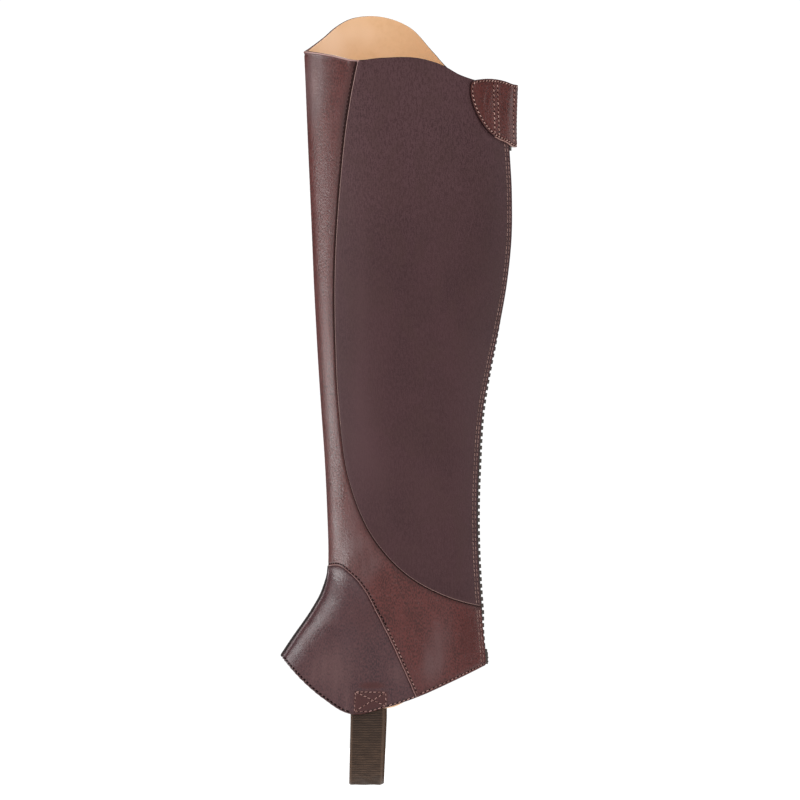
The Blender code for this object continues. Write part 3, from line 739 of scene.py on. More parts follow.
@dataclass(frozen=True)
class SoftLeather:
    """Matt, supple calf leather with a very fine mottle and short upright streaks."""

    name: str = "soft_leather"
    body: Colour = (0.048, 0.0193, 0.0217)
    deep: Colour = (0.038, 0.0150, 0.0170)
    # The next colour is the pale flecks, and the painted light of the light marks.
    pale: Colour = (0.070, 0.0320, 0.0355)
    brown: Colour = (0.051, 0.0235, 0.0225)
    # The next colour darkens sewn rows and raw edges, and is the painted shade of the dark marks.
    shade_and_dark_edge: Colour = (0.016, 0.0050, 0.0050)
    # The next colour is the pale line at the seam's edge, partly a painted highlight.
    wear_and_highlight: Colour = (0.42, 0.260, 0.230)
    roughness: float = 0.60

    def material(self) -> bpy.types.Material:
        """Makes the finish.

        Returns:
            The material.
        """
        shader = Shader(self.name)
        cloth = shader.cloth()
        broad = shader.noise(cloth, 48, 2.0, 0.5)
        patches = shader.noise(shader.stretched(cloth, (1.0, 0.7, 1.0)), 17, 4.0, 0.6)
        streaks = shader.noise(shader.stretched(cloth, (1.0, 0.3, 1.0)), 0.95, 3.0, 0.8)
        mottle = shader.noise(cloth, 1.0, 3.0)
        pores = shader.cells(cloth, 0.8)
        fleck = (streaks * 0.6 + mottle * 0.4).step(0.40, 0.60)
        high = cloth.part("Y").step(-60 * MM, 70 * MM)
        shade = shader.own("shade")
        colour = shader.layers(
            self.deep,
            (self.body, broad.step(0.3, 0.62)),
            (self.deep, (1.0 - fleck) * high * 0.45),
            (self.pale, fleck * (high * 0.8 + 0.5)),
            (self.brown, patches.step(0.42, 0.66) * 0.35),
            # Painted light of the light marks.
            (self.pale, shade.step(0.0, -1.0)),
            # Painted shade of the dark marks.
            (self.shade_and_dark_edge, shade.step(0.0, 1.0)),
            (self.shade_and_dark_edge, shader.own("sewn") * 0.6),
            # The pale edge line, partly a pale raw edge and partly a painted highlight.
            (self.wear_and_highlight, shader.own("wear_and_highlight") * (0.5 + mottle * 0.5)),
        )
        roughness = self.roughness + (mottle - 0.5) * 0.2
        relief = shader.bump(pores, 0.05, 0.4)
        relief = shader.bump(streaks * 0.5 + mottle * 0.5, 0.20, 0.45, relief)
        return shader.set(Base_Color=colour, Roughness=roughness, Normal=relief, Specular_IOR_Level=0.17)


@dataclass(frozen=True)
class LiningLeather:
    """Smooth undyed pigskin with faint pores and a warm, uneven tone."""

    name: str = "tan_lining"
    body: Colour = (0.80, 0.49, 0.262)
    deep: Colour = (0.74, 0.435, 0.222)
    # The next colour is a random pink tone and the painted light of the light marks.
    pink_tone_and_light: Colour = (0.92, 0.62, 0.40)
    roughness: float = 0.55

    def material(self) -> bpy.types.Material:
        """Makes the finish.

        Returns:
            The material.
        """
        shader = Shader(self.name)
        cloth = shader.cloth()
        broad = shader.noise(cloth, 40, 2.0)
        mottle = shader.noise(cloth, 3.0, 3.0)
        pores = shader.cells(cloth, 1.3)
        shade = shader.own("shade")
        colour = shader.layers(
            self.deep,
            (self.body, (broad * 0.6 + mottle * 0.4).step(0.3, 0.6)),
            (self.pink_tone_and_light, broad.step(0.52, 0.75) * 0.4),
            # Painted light of the light marks.
            (self.pink_tone_and_light, shade.step(0.0, -1.0)),
            # Painted shade of the dark marks.
            (self.deep, shade.step(0.0, 1.0)),
        )
        relief = shader.bump(mottle, 0.10, 0.25, shader.bump(pores, 0.05, 0.3))
        roughness = self.roughness + (mottle - 0.5) * 0.15
        return shader.set(Base_Color=colour, Roughness=roughness, Normal=relief)


@dataclass(frozen=True)
class Webbing:
    """Woven cloth: ribs or a herringbone of fine yarns."""

    name: str
    dark: Colour
    light: Colour
    yarn: float
    herringbone: bool = False
    roughness: float = 0.85

    def material(self) -> bpy.types.Material:
        """Makes the finish.

        Returns:
            The material.
        """
        shader = Shader(self.name)
        cloth = shader.cloth()
        across, down = cloth.part("X"), cloth.part("Y")
        turns = 2 * math.pi / (self.yarn * MM)
        if self.herringbone:
            zigzag = (across * (math.pi / (3.0 * MM))).sine() * (1.2 * MM)
            yarns = ((down + zigzag) * turns).sine()
        else:
            yarns = (across * turns).sine() * 0.6 + (down * (turns * 0.83)).sine() * 0.4
        fuzz = shader.noise(cloth, 0.6, 3.0)
        broad = shader.noise(shader.stretched(cloth, (0.3, 1.0, 1.0)), 2.4, 3.0)
        tone = yarns * 0.22 + fuzz * 0.5 + broad * 0.45
        colour = shader.layers(
            self.dark,
            (self.light, tone.step(0.25, 0.78)),
            # Painted shade in the ribs' grooves and near the strap's sewn ends.
            (self.dark, shader.own("shade")),
            # A pale line on the raised edge, partly a pale edge binding and partly a painted highlight.
            (self.light, shader.own("wear_and_highlight") * 0.8),
        )
        relief = shader.bump(fuzz, 0.08, 0.4, shader.bump(yarns * 0.5 + 0.5, 0.08, 0.5))
        return shader.set(
            Base_Color=colour,
            Roughness=self.roughness,
            Normal=relief,
            Specular_IOR_Level=0.3,
            Sheen_Weight=0.1,
        )


@dataclass(frozen=True)
class Thread:
    """Waxed thread, a little different from stitch to stitch."""

    name: str
    dark: Colour
    light: Colour

    def material(self) -> bpy.types.Material:
        """Makes the finish.

        Returns:
            The material.
        """
        shader = Shader(self.name)
        place = shader.node("ShaderNodeTexCoord", output="Object")
        twist = shader.noise(place, 0.5, 2.0)
        tone = shader.own("tone") * 0.6 + twist * 0.4
        colour = shader.mix(self.dark, self.light, tone.step(0.2, 0.75))
        relief = shader.bump(twist, 0.05, 0.5)
        return shader.set(Base_Color=colour, Roughness=0.55 + twist * 0.1, Normal=relief)


@dataclass(frozen=True)
class Hard:
    """Moulded resin or blackened metal, with fine wear, or the painted shadow of a needle hole."""

    name: str
    body: Colour
    wear_and_highlight: Colour
    roughness: float
    metallic: float = 0.0
    gloss: float = 0.5

    def material(self) -> bpy.types.Material:
        """Makes the finish.

        Returns:
            The material.
        """
        shader = Shader(self.name)
        place = shader.node("ShaderNodeTexCoord", output="Object")
        scuffs = shader.noise(place, 1.6, 4.0)
        grit = shader.noise(place, 0.35, 2.0)
        colour = shader.mix(self.body, self.wear_and_highlight, (scuffs * 0.7 + grit * 0.3).step(0.45, 0.75) * 0.6)
        roughness = self.roughness + (scuffs - 0.5) * 0.25
        return shader.set(
            Base_Color=colour,
            Roughness=roughness,
            Metallic=self.metallic,
            Specular_IOR_Level=self.gloss,
            Normal=shader.bump(grit, 0.03, 0.3),
        )


@dataclass
class Finishes:
    """Every finish of the chap, made once."""

    def __post_init__(self) -> None:
        """Makes the materials."""
        self.smooth = SmoothLeather().material()
        self.vamp = SmoothLeather(
            "vamp_leather",
            (0.068, 0.0250, 0.0275), (0.034, 0.0130, 0.0158), (0.044, 0.0215, 0.0275),
            ruddy_shade=(0.058, 0.0125, 0.0110),
            roughness=0.29,
            streak=0.4,
            seam_shadow_strength=0.25,
            swell=0.5,
            pebble=0.5,
        ).material()
        self.tab = SmoothLeather(
            "tab_leather",
            (0.082, 0.0120, 0.0082),
            (0.036, 0.0056, 0.0044),
            (0.060, 0.0135, 0.0105),
            wear_and_highlight=(0.50, 0.29, 0.24),
        ).material()
        self.soft = SoftLeather().material()
        self.lining = LiningLeather().material()
        self.piping = SmoothLeather(
            "piping_leather",
            (0.014, 0.007, 0.0065),
            (0.008, 0.004, 0.004),
            (0.014, 0.008, 0.008),
            roughness=0.55,
        ).material()
        self.tape = Webbing("zip_tape", (0.010, 0.008, 0.008), (0.080, 0.056, 0.043), 0.75, True).material()
        self.elastic = Webbing("elastic", (0.016, 0.0084, 0.0050), (0.128, 0.074, 0.046), 0.6).material()
        self.pale_thread = Thread("pale_thread", (0.22, 0.105, 0.083), (0.46, 0.28, 0.235)).material()
        self.brown_thread = Thread("brown_thread", (0.17, 0.075, 0.060), (0.36, 0.20, 0.175)).material()
        self.zip_thread = Thread("zip_thread", (0.14, 0.066, 0.054), (0.29, 0.165, 0.140)).material()
        self.dark_thread = Thread("dark_thread", (0.05, 0.015, 0.015), (0.16, 0.065, 0.06)).material()
        dark, wear_and_highlight = (0.006, 0.002, 0.002), (0.012, 0.004, 0.004)
        # The needle holes are near black, a painted shadow inside them.
        self.hole = Hard("needle_hole_shadow", dark, wear_and_highlight, 0.9, gloss=0.05).material()
        self.resin = Hard("zip_resin", (0.032, 0.021, 0.015), (0.070, 0.050, 0.038), 0.42).material()
        self.metal = Hard("dark_metal", (0.10, 0.092, 0.085), (0.28, 0.25, 0.22), 0.34, 1.0).material()


# ---- Meshes ----


def new_piece(
    mesh: bpy.types.Mesh, materials: Sequence[bpy.types.Material], slot: str, *stands_for: str
) -> bpy.types.Object:
    """A mesh as a piece of the chap that rides on its body.

    Args:
        mesh: Its mesh, in metres, which has its name.
        materials: Its materials, in order.
        slot: Not used.
        stands_for: The frame's nodes that it replaces.

    Returns:
        The piece.
    """
    made = bpy.data.objects.new(mesh.name, mesh)
    bpy.context.scene.collection.objects.link(made)
    for material in materials:
        mesh.materials.append(material)
    mesh.shade_smooth()
    mesh.set_sharp_from_angle(angle=SHARP)
    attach(made, BODY)
    if stands_for:
        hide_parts(*stands_for)
    log.info("%s: %d faces", made.name, len(mesh.polygons))
    return made


def mesh_of(
    name: str, points: Points, faces: Sequence[Sequence[int]], facts: Optional[dict[str, Points]] = None
) -> bpy.types.Mesh:
    """A mesh of points in millimetres, with a number or a vector for each point.

    Args:
        name: The mesh's name.
        points: Its points.
        faces: The corners of each face.
        facts: The attributes, by name.

    Returns:
        The mesh, in metres.
    """
    mesh = bpy.data.meshes.new(name)
    mesh.from_pydata((points * MM).tolist(), [], [list(map(int, f)) for f in faces])
    for key, values in (facts or {}).items():
        values = np.asarray(values, np.float32)
        vector = values.ndim > 1
        attribute = mesh.attributes.new(key, "FLOAT_VECTOR" if vector else "FLOAT", "POINT")
        attribute.data.foreach_set("vector" if vector else "value", values.ravel())
    mesh.update()
    return mesh


def closed_shell(faces: Points, count: int) -> list[Sequence[int]]:
    """The faces of a closed sheet, with its outer points first and as many inner points after them.

    Args:
        faces: The outer face's faces.
        count: How many points the outer face has.

    Returns:
        The outer faces, the inner faces and the rim between them.
    """
    whole = [list(face) for face in faces]
    ways = dict.fromkeys((a, b) for face in whole for a, b in zip(face, face[1:] + face[:1]))
    rim = [(b, a, a + count, b + count) for a, b in ways if (b, a) not in ways]
    back = [[corner + count for corner in face[::-1]] for face in whole]
    return [*whole, *back, *rim]


def grid_faces(rows: int, columns: int) -> Points:
    """The quads of a grid of points, row after row."""
    corner = (np.arange(rows - 1)[:, None] * columns + np.arange(columns - 1)).ravel()
    return np.column_stack((corner, corner + 1, corner + columns + 1, corner + columns))


def ring_faces(rings: int, sides: int) -> list[Sequence[int]]:
    """The quads between rings of points, one ring after another."""
    starts, turns = range(0, (rings - 1) * sides, sides), [(k, (k + 1) % sides) for k in range(sides)]
    return [(r + a, r + sides + a, r + sides + b, r + b) for r in starts for a, b in turns]


def taken_from(work: bmesh.types.BMesh) -> tuple[Points, list[list[int]]]:
    """Reads a worked mesh and frees it.

    Args:
        work: The worked mesh.

    Returns:
        Its points and its faces.
    """
    work.verts.index_update()
    points = np.array([tuple(vert.co) for vert in work.verts])
    faces = [[vert.index for vert in face.verts] for face in work.faces]
    work.free()
    return points, faces


class EdgeRuler:
    """Measures how far points lie from one edge of a piece."""

    def __init__(self, surface: Surface, line: Points, spacing: float = 0.25) -> None:
        """Keeps the edge's own points, close together.

        Args:
            surface: What the piece lies on.
            line: The edge, as (way, level).
            spacing: How far apart its points are.
        """
        self.points = surface.at(even(line, spacing))
        self.tree = search_tree(self.points)
        self.ahead = unit(np.gradient(self.points, axis=0))

    def measure(self, points: Points) -> Points:
        """The distance of each point from the edge.

        Args:
            points: The points.

        Returns:
            Their distances.
        """
        nearest = np.array([self.tree.find(point)[1] for point in points])
        offset = points - self.points[nearest]
        along = np.sum(offset * self.ahead[nearest], axis=1)
        inner = (nearest > 0) & (nearest < len(self.points) - 1)
        return np.sqrt(np.maximum(np.sum(offset**2, axis=1) - np.where(inner, along**2, 0), 0))


@dataclass(frozen=True)
class EdgeStyle:
    """How one edge of a piece is finished.

    fall is how far the surface drops right at the edge, over the way given by fall_way, and it stays down
    for flat before that. Each bump is its distance from the edge, its height and its half width. Two more
    numbers are how far in the dark raw edge and the pale line beside it reach: the dark edge is partly a
    painted shadow, and the pale line is partly a pale raw edge and partly a painted highlight on the turned
    edge, as strong as wear says. bed says that it lies under another piece's edge, where the material paints
    shade, and sewn lists the distances of the rows of stitches, each of which sinks into the leather and
    darkens it.
    """

    fall: float = 0.0
    fall_way: float = 1.0
    flat: float = 0.0
    bumps: Rows = ()
    # How far in the pale edge line reaches, partly a painted highlight.
    wear_and_highlight: float = 0.0
    wear: float = 1.0
    # How far in the dark raw edge reaches, partly a painted shadow.
    shade_and_dark_edge: float = 0.0
    # The material paints shade beside an edge that lies under another piece.
    bed: bool = False
    sewn: Sequence[float] = ()
    row_sink: float = 0.22
    row_half: float = 0.55
    row_dark: float = 0.75

    def relief(self, distance: Points) -> tuple[Points, Points]:
        """Its relief at distances from the edge.

        Args:
            distance: The distances.

        Returns:
            The drop and the bumps.
        """
        if self.flat:
            drop = -self.fall * (1 - rise(distance, self.flat, self.flat + self.fall_way))
        else:
            t = np.clip(distance / self.fall_way, 0, 1)
            drop = -self.fall * (1 - np.sqrt(1 - (1 - t) ** 2))
        bumps = np.zeros(len(distance))
        for centre, height, half in self.bumps:
            bumps += height * np.exp(-(((distance - centre) / half) ** 2))
        for row in self.sewn:
            bumps -= self.row_sink * np.exp(-(((distance - row) / self.row_half) ** 2))
        return drop, bumps

    def rows(self) -> list[float]:
        """Where the mesh needs rows of points.

        Returns:
            Their distances from the edge.
        """
        found = {0.0, 0.15, 0.4, 0.75, 1.2, 1.8, 2.6, 3.6}
        if self.flat:
            found = {0.0, self.flat * 0.6, self.flat}
            found |= {self.flat + self.fall_way * share for share in (0.25, 0.5, 0.75, 1.0, 1.3)}
        for centre, _, half in (*self.bumps, *[(row, self.row_sink, self.row_half) for row in self.sewn]):
            found |= {centre + half * share for share in (-1.6, -0.8, 0.0, 0.8, 1.6)}
        found |= {self.wear_and_highlight, self.wear_and_highlight * 0.6, self.shade_and_dark_edge, self.shade_and_dark_edge * 0.6}
        kept = [0.0]
        for row in sorted(found):
            if row - kept[-1] > 0.11:
                kept.append(row)
        return kept[1:]


class Mark:
    """Something soft that lifts, sinks or shades one place on the wall."""

    side: int
    fade: float = 6.0

    def strength(self, points: Points) -> Points:
        """How strong it is at points of its own side."""
        raise NotImplementedError

    def relief(self, places: Points, points: Points) -> Points:
        """How strong it is at (way, level) places that lie at those points."""
        return self.strength(points) * rise(places[:, 0] * self.side, 0, self.fade)


@dataclass(frozen=True)
class Crease(Mark):
    """A soft fold, as its middle in side view, its lean from upright, its size and how far it stands out."""

    side: int
    x: float
    level: float
    lean: float
    length: float
    width: float
    height: float

    def strength(self, points: Points) -> Points:
        """How far it lifts the wall.

        Args:
            points: Points of its own side.

        Returns:
            The lift at each.
        """
        lean = math.radians(self.lean)
        offset = points[:, [0, 2]] - (self.x, self.level)
        along = offset @ (math.sin(lean), math.cos(lean))
        across = offset @ (math.cos(lean), -math.sin(lean))
        return self.height * np.exp(-((across / self.width) ** 2) - (along / self.length) ** 2)


def soft_marks(side: int, rows: Rows) -> tuple[Crease, ...]:
    """Folds or shades on one side, each a row of a crease's numbers."""
    return tuple(Crease(side, *row) for row in rows)


@dataclass(frozen=True)
class Press(Mark):
    """A pressed block with soft edges, as its front, back, top and bottom in side view."""

    side: int
    front: float
    back: float
    top: float
    bottom: float
    soft: float
    height: float

    def strength(self, points: Points) -> Points:
        """How far it lifts the wall.

        Args:
            points: Points of its own side.

        Returns:
            The lift at each.
        """
        x, _, level = points.T
        depth = np.min((x - self.front, self.back - x, self.top - level, level - self.bottom), axis=0)
        return self.height * rise(depth, -self.soft, self.soft)


@dataclass
class Sheet:
    """One cut piece of leather or cloth, laid on a surface."""

    name: str
    surface: Surface
    edges: dict[str, Points]
    styles: dict[str, EdgeStyle]
    thickness: float = 1.25
    base: float = 0.0
    creases: Sequence[Mark] = ()
    wave: float = 0.0
    spacing: float = 2.5
    station: float = 1.7
    cut_width: float = 0.0
    outline_step: float = 0.3
    plain_row: float = 1.2
    row_clear: float = 0.93
    lattice_clear: float = 0.4
    lattice_gap: float = 0.55
    shades: Sequence[Mark] = ()
    rulers: dict[str, EdgeRuler] = field(default_factory=dict)

    def __post_init__(self) -> None:
        """Makes a ruler for each edge that has a style."""
        for key in self.styles:
            self.rulers[key] = EdgeRuler(self.surface, self.edges[key])

    def loop(self) -> Points:
        """The cut's outline, once round."""
        return np.concatenate([even(line, self.station)[:-1] for line in self.edges.values()])

    def folds(self, places: Points) -> Points:
        """How far the creases and the leather's own unevenness lift it.

        Args:
            places: The (way, level) places.

        Returns:
            The lift at each.
        """
        points = self.surface.at(places)
        found = np.zeros(len(places))
        for crease in self.creases:
            found += crease.relief(places, points)
        if self.wave:
            way, level = places.T
            found += self.wave * (
                np.sin(way / 13.0 + level / 61.0 + 0.7) * np.sin(level / 37.0 + 1.1)
                + 0.6 * np.sin(way / 7.9 - level / 83.0 + 2.0)
                + 0.5 * np.sin(level / 19.0 + way / 29.0)
            )
        return found

    def measure(self, places: Points) -> dict[str, Points]:
        """The distance of each place from every edge that has a style."""
        points = self.surface.at(places)
        return {key: ruler.measure(points) for key, ruler in self.rulers.items()}

    def relief(self, places: Points, distances: Optional[dict[str, Points]] = None) -> Points:
        """How far the outer face stands out.

        Args:
            places: The (way, level) places.
            distances: How far each is from the edges, where that is known.

        Returns:
            The height of each.
        """
        distances = self.measure(places) if distances is None else distances
        drops = [np.zeros(len(places))]
        total = self.folds(places) + self.base
        for key, style in self.styles.items():
            drop, bumps = style.relief(distances[key])
            drops.append(drop)
            total = total + bumps
        return total + np.min(drops, axis=0)

    def facts(self, places: Points, distances: dict[str, Points]) -> dict[str, Points]:
        """What the materials read: the pale edge line, partly a painted highlight, the painted shade beside
        a seam, sewn rows and dark edges, and the painted light and shade of the marks.

        Args:
            places: The (way, level) places.
            distances: How far each is from the edges.

        Returns:
            The numbers of each, by name.
        """
        count = len(places)
        wear_and_highlight, sewn, bed = np.zeros(count), np.zeros(count), np.full(count, FAR)
        points = self.surface.at(places)
        # The marks' painted light and shade.
        shade = sum((mark.relief(places, points) for mark in self.shades), np.zeros(count))
        for key, style in self.styles.items():
            distance = distances[key]
            # A dark raw edge, partly a painted shadow, joins the darkened sewn rows.
            if style.shade_and_dark_edge:
                sewn = np.maximum(sewn, 2 * (1 - rise(distance, style.shade_and_dark_edge * 0.6, style.shade_and_dark_edge)))
            # The pale edge line, partly a painted highlight.
            if style.wear_and_highlight:
                line = 1 - rise(distance, style.wear_and_highlight * 0.6, style.wear_and_highlight)
                line = line * rise(distance, style.shade_and_dark_edge * 0.5 - 0.01, style.shade_and_dark_edge)
                wear_and_highlight = np.maximum(wear_and_highlight, style.wear * line)
            # Where the material paints shade beside a seam.
            if style.bed:
                bed = np.minimum(bed, np.maximum(distance - style.flat, 0))
            for row in style.sewn:
                sewn = np.maximum(sewn, np.exp(-(((distance - row) / style.row_dark) ** 2)))
        return {"wear_and_highlight": wear_and_highlight, "sewn": sewn, "bed": bed, "shade": shade}

    def _inner_points(self, loop: Points) -> Points:
        """The points inside the cut: rows along its edges, and a lattice over the rest.

        Args:
            loop: The cut's outline.

        Returns:
            The points.
        """
        turn = turn_of(loop)
        edge = search_tree(even(np.vstack((loop, loop[:1])), self.outline_step))

        def clear(places: Points, gap: float) -> Points:
            """The places that lie inside the outline, with at least a gap to it."""
            kept = places[gaps(edge, places) >= gap]
            return kept[inside(loop, kept)]

        found, deepest = [], []
        for key, line in self.edges.items():
            stations = even(line, self.station)
            rows = self.styles[key].rows() if key in self.styles else [self.plain_row]
            found += [clear(aside(stations, turn * row), row * self.row_clear) for row in rows]
            deepest.append(rows[-1])
        low, high = loop.min(0), loop.max(0)
        across = np.arange(low[0], high[0], self.spacing)
        down = np.arange(low[1], high[1], self.spacing * math.sqrt(3) / 2)
        lattice = np.array([(x + (k % 2) * self.spacing / 2, y) for k, y in enumerate(down) for x in across])
        lattice = clear(lattice, min(deepest) + self.lattice_clear * self.spacing)
        taken = np.vstack(found)
        free = gaps(search_tree(taken), lattice) > self.lattice_gap * self.spacing
        return np.vstack((taken, lattice[free]))

    def mesh(self) -> bpy.types.Mesh:
        """The piece as a closed thin shell.

        Returns:
            Its mesh.
        """
        loop = self.loop()
        places = np.vstack((loop, self._inner_points(loop)))
        ring = [(k, (k + 1) % len(loop)) for k in range(len(loop))]
        made = delaunay_2d_cdt([Vector(p) for p in places], ring, [], 0, 1e-4, False)
        places = np.array([tuple(p) for p in made[0]])
        faces = np.array(made[2])
        faces = faces[inside(loop, places[faces].mean(axis=1))]
        used = np.unique(faces)
        renumber = np.zeros(len(places), int)
        renumber[used] = np.arange(len(used))
        faces, places = renumber[faces], places[used]
        distances = self.measure(places)
        outer = self.surface.place(places, self.relief(places, distances))
        inner = self.surface.place(places, self.base - self.thickness + self.folds(places))
        if self.surface.facing > 0:
            faces = faces[:, ::-1]
        facts = {key: np.tile(values, 2) for key, values in self.facts(places, distances).items()}
        cloth = np.column_stack((self.surface.flatten(places), np.zeros(len(places)))) * MM
        facts["cloth"] = np.vstack((cloth, cloth + INNER_CLOTH))
        return mesh_of(self.name, np.vstack((outer, inner)), closed_shell(faces, len(places)), facts)

    def flat(self) -> tuple[float, float]:
        """The cut's flat (width, length), in metres."""
        width, length = np.ptp(self.loop(), axis=0)
        return float(self.cut_width or width) * MM, float(length) * MM

    def build(
        self, material: bpy.types.Material, slot: str, stands_for: Sequence[str], rests_on: Sequence[str]
    ) -> bpy.types.Object:
        """Args:
            material: Its material.
            slot: Not used.
            stands_for: The frame's nodes that it replaces.
            rests_on: Not used.

        Returns:
            The piece.
        """
        made = new_piece(self.mesh(), [material], slot, *stands_for)
        self.flat()
        return made


# ---- Stitches ----


@dataclass(frozen=True)
class Stitch:
    """One kind of stitch: how far apart, its thread's size and slant, and its needle hole's size."""

    pitch: float
    length: float
    radius: float
    slant: float
    hole_length: float
    hole_width: float
    proud: float = 0.10


@dataclass
class Needlework:
    """Rows of stitches that become one piece."""

    name: str
    seed: int
    sides: int = 6
    slant_varies: float = 3.0
    length_varies: float = 0.05
    hole_sides: int = 8
    hole_lift: float = 0.11
    hole_depth: float = 0.25
    points: list[Points] = field(default_factory=list)
    faces: list[Points] = field(default_factory=list)
    marks: list[Points] = field(default_factory=list)
    tones: list[Points] = field(default_factory=list)
    count: int = 0

    def _add(self, points: Points, faces: Points, mark: int, tones: Points) -> None:
        """Adds one shape at every stitch.

        Args:
            points: The shape's points at each stitch.
            faces: The shape's faces.
            mark: Its material's number.
            tones: Each stitch's own shade.
        """
        stitches, corners = points.shape[:2]
        starts = self.count + np.arange(stitches) * corners
        self.points.append(points.reshape(-1, 3))
        self.faces.append((starts[:, None, None] + faces[None]).reshape(-1, faces.shape[1]))
        self.marks.append(np.full(stitches * len(faces), mark))
        self.tones.append(np.repeat(tones, corners))
        self.count += stitches * corners

    def row(self, surface: Surface, line: Points, stitch: Stitch, out: Callable[[Points], Points]) -> None:
        """Sews one row.

        Args:
            surface: What it is sewn on.
            line: The row's line, as (way, level).
            stitch: The kind of stitch.
            out: How far out the leather is at (way, level) places.
        """
        draw = np.random.default_rng(self.seed + self.count)
        stations = even(line, 0.5)
        way = lengths(surface.at(stations))
        number = max(2, round(way[-1] / stitch.pitch))
        at = (np.arange(number) + 0.5) * way[-1] / number
        ends = [np.column_stack([np.interp(at + d, way, c) for c in stations.T]) for d in (-0.5, 0.5)]
        middle = (ends[0] + ends[1]) / 2
        centres = surface.place(middle, out(middle))
        ahead = unit(surface.place(ends[1], out(ends[1])) - surface.place(ends[0], out(ends[0])))
        normal = surface.normals(middle)
        side = np.cross(normal, ahead)
        slant = np.radians(stitch.slant + draw.normal(0, self.slant_varies, number))[:, None]
        lead = ahead * np.cos(slant) + side * np.sin(slant)
        beside = np.cross(normal, lead)
        tones = draw.random(number)
        size = stitch.length / 2 * (1 + draw.normal(0, self.length_varies, number))[:, None, None]
        shape, along = [], (-1.0, -0.82, -0.35, 0.35, 0.82, 1.0)
        for u in along:
            swell = (math.sqrt(max(0.0, 1 - abs(u) ** 3.5)) * 0.92 + 0.08) * stitch.radius
            sink = stitch.proud - (stitch.proud + stitch.radius * 1.1) * abs(u) ** 4
            for turn in self.ring(self.sides):
                shape.append((u, math.cos(turn) * swell, sink + math.sin(turn) * swell * 0.8))
        u, v, w = np.array(shape).T[:, None, :, None]
        solid = centres[:, None] + lead[:, None] * u * size + beside[:, None] * v + normal[:, None] * w
        last = len(shape) - self.sides
        quads = ring_faces(len(along), self.sides) + [(0, 1, 2, 3), (0, 3, 4, 5)]
        quads += [(last + 3, last + 2, last + 1, last), (last + 5, last + 4, last + 3, last)]
        self._add(solid, np.array(quads), 0, tones)
        if stitch.hole_length:
            line, between = np.column_stack((way, stations)), at - (at[1] - at[0]) / 2
            self._holes(surface, line, between, stitch, out, tones)

    @staticmethod
    def ring(sides: int) -> Points:
        """The angles of the corners of a ring."""
        return np.linspace(0, 2 * math.pi, sides, endpoint=False)

    def _holes(
        self,
        surface: Surface,
        stations: Points,
        at: Points,
        stitch: Stitch,
        out: Callable[[Points], Points],
        tones: Points,
    ) -> None:
        """Adds the needle holes between the stitches of one row, dark with painted shadow.

        Args:
            surface: What the row is sewn on.
            stations: The row's line, as (way along it, way, level).
            at: How far along it each hole is.
            stitch: The kind of stitch.
            out: How far out the leather is at (way, level) places.
            tones: Each stitch's own shade.
        """
        places, nearby = [
            np.column_stack([np.interp(at + lead, stations[:, 0], column) for column in stations.T[1:]])
            for lead in (0.0, 0.4)
        ]
        ahead, normal = unit(surface.at(nearby) - surface.at(places)), surface.normals(places)
        ring = self.ring(self.hole_sides)
        u = (np.cos(ring) * stitch.hole_length / 2)[None, :, None]
        v = (np.sin(ring) * stitch.hole_width / 2)[None, :, None]
        foot = surface.place(places, out(places) + self.hole_lift)
        top = foot[:, None] + ahead[:, None] * u + np.cross(normal, ahead)[:, None] * v
        points = np.concatenate((top, top - normal[:, None] * self.hole_depth), axis=1)
        lid = ((0, 1, 2, 3), (0, 3, 4, 7), (4, 5, 6, 7))
        foot = [tuple(c + self.hole_sides for c in face[::-1]) for face in lid]
        faces = [*ring_faces(2, self.hole_sides), *lid, *foot]
        self._add(points, np.array(faces), 1, tones)

    def build(self, thread: bpy.types.Material, hole: bpy.types.Material) -> bpy.types.Object:
        """Makes the rows into one piece.

        Args:
            thread: The stitches' material.
            hole: The needle holes' material.

        Returns:
            The piece.
        """
        tones = {"tone": np.concatenate(self.tones)}
        mesh = mesh_of(self.name, np.vstack(self.points), np.vstack(self.faces), tones)
        mesh.polygons.foreach_set("material_index", np.concatenate(self.marks).astype(np.int32))
        return new_piece(mesh, [thread, hole], "thread")


# ---- The leather upper and its lining ----

ZIP_ROWS = (3.2, 6.4)
ZIP_EDGE = EdgeStyle(fall=0.9, fall_way=0.9, bumps=((1.3, 0.15, 1.0),), sewn=ZIP_ROWS)
ZIP_ROW = Stitch(3.12, 3.15, 0.32, 8, 0.35, 0.35, 0.15)
SEAM_ROW = Stitch(3.15, 1.4, 0.24, 6, 2.2, 1.1, 0.02)
SEAM_FOOT_ROW = Stitch(3.05, 2.0, 0.30, 8, 1.1, 0.8, 0.10)
HEM_ROW = Stitch(3.30, 2.2, 0.33, 12, 1.0, 0.8, 0.14)
DARK_HEM_ROW = Stitch(3.45, 1.5, 0.26, 6, 2.4, 1.2, 0.02)
BOX_ROW = Stitch(3.1, 2.5, 0.28, 10, 0.9, 0.7, 0.16)
TAB_ROW = Stitch(3.13, 2.2, 0.37, 24, 1.1, 0.9, 0.18)
CALF_MARK = Stitch(3.1, 0.5, 0.20, 0, 0.9, 0.45, -0.05)


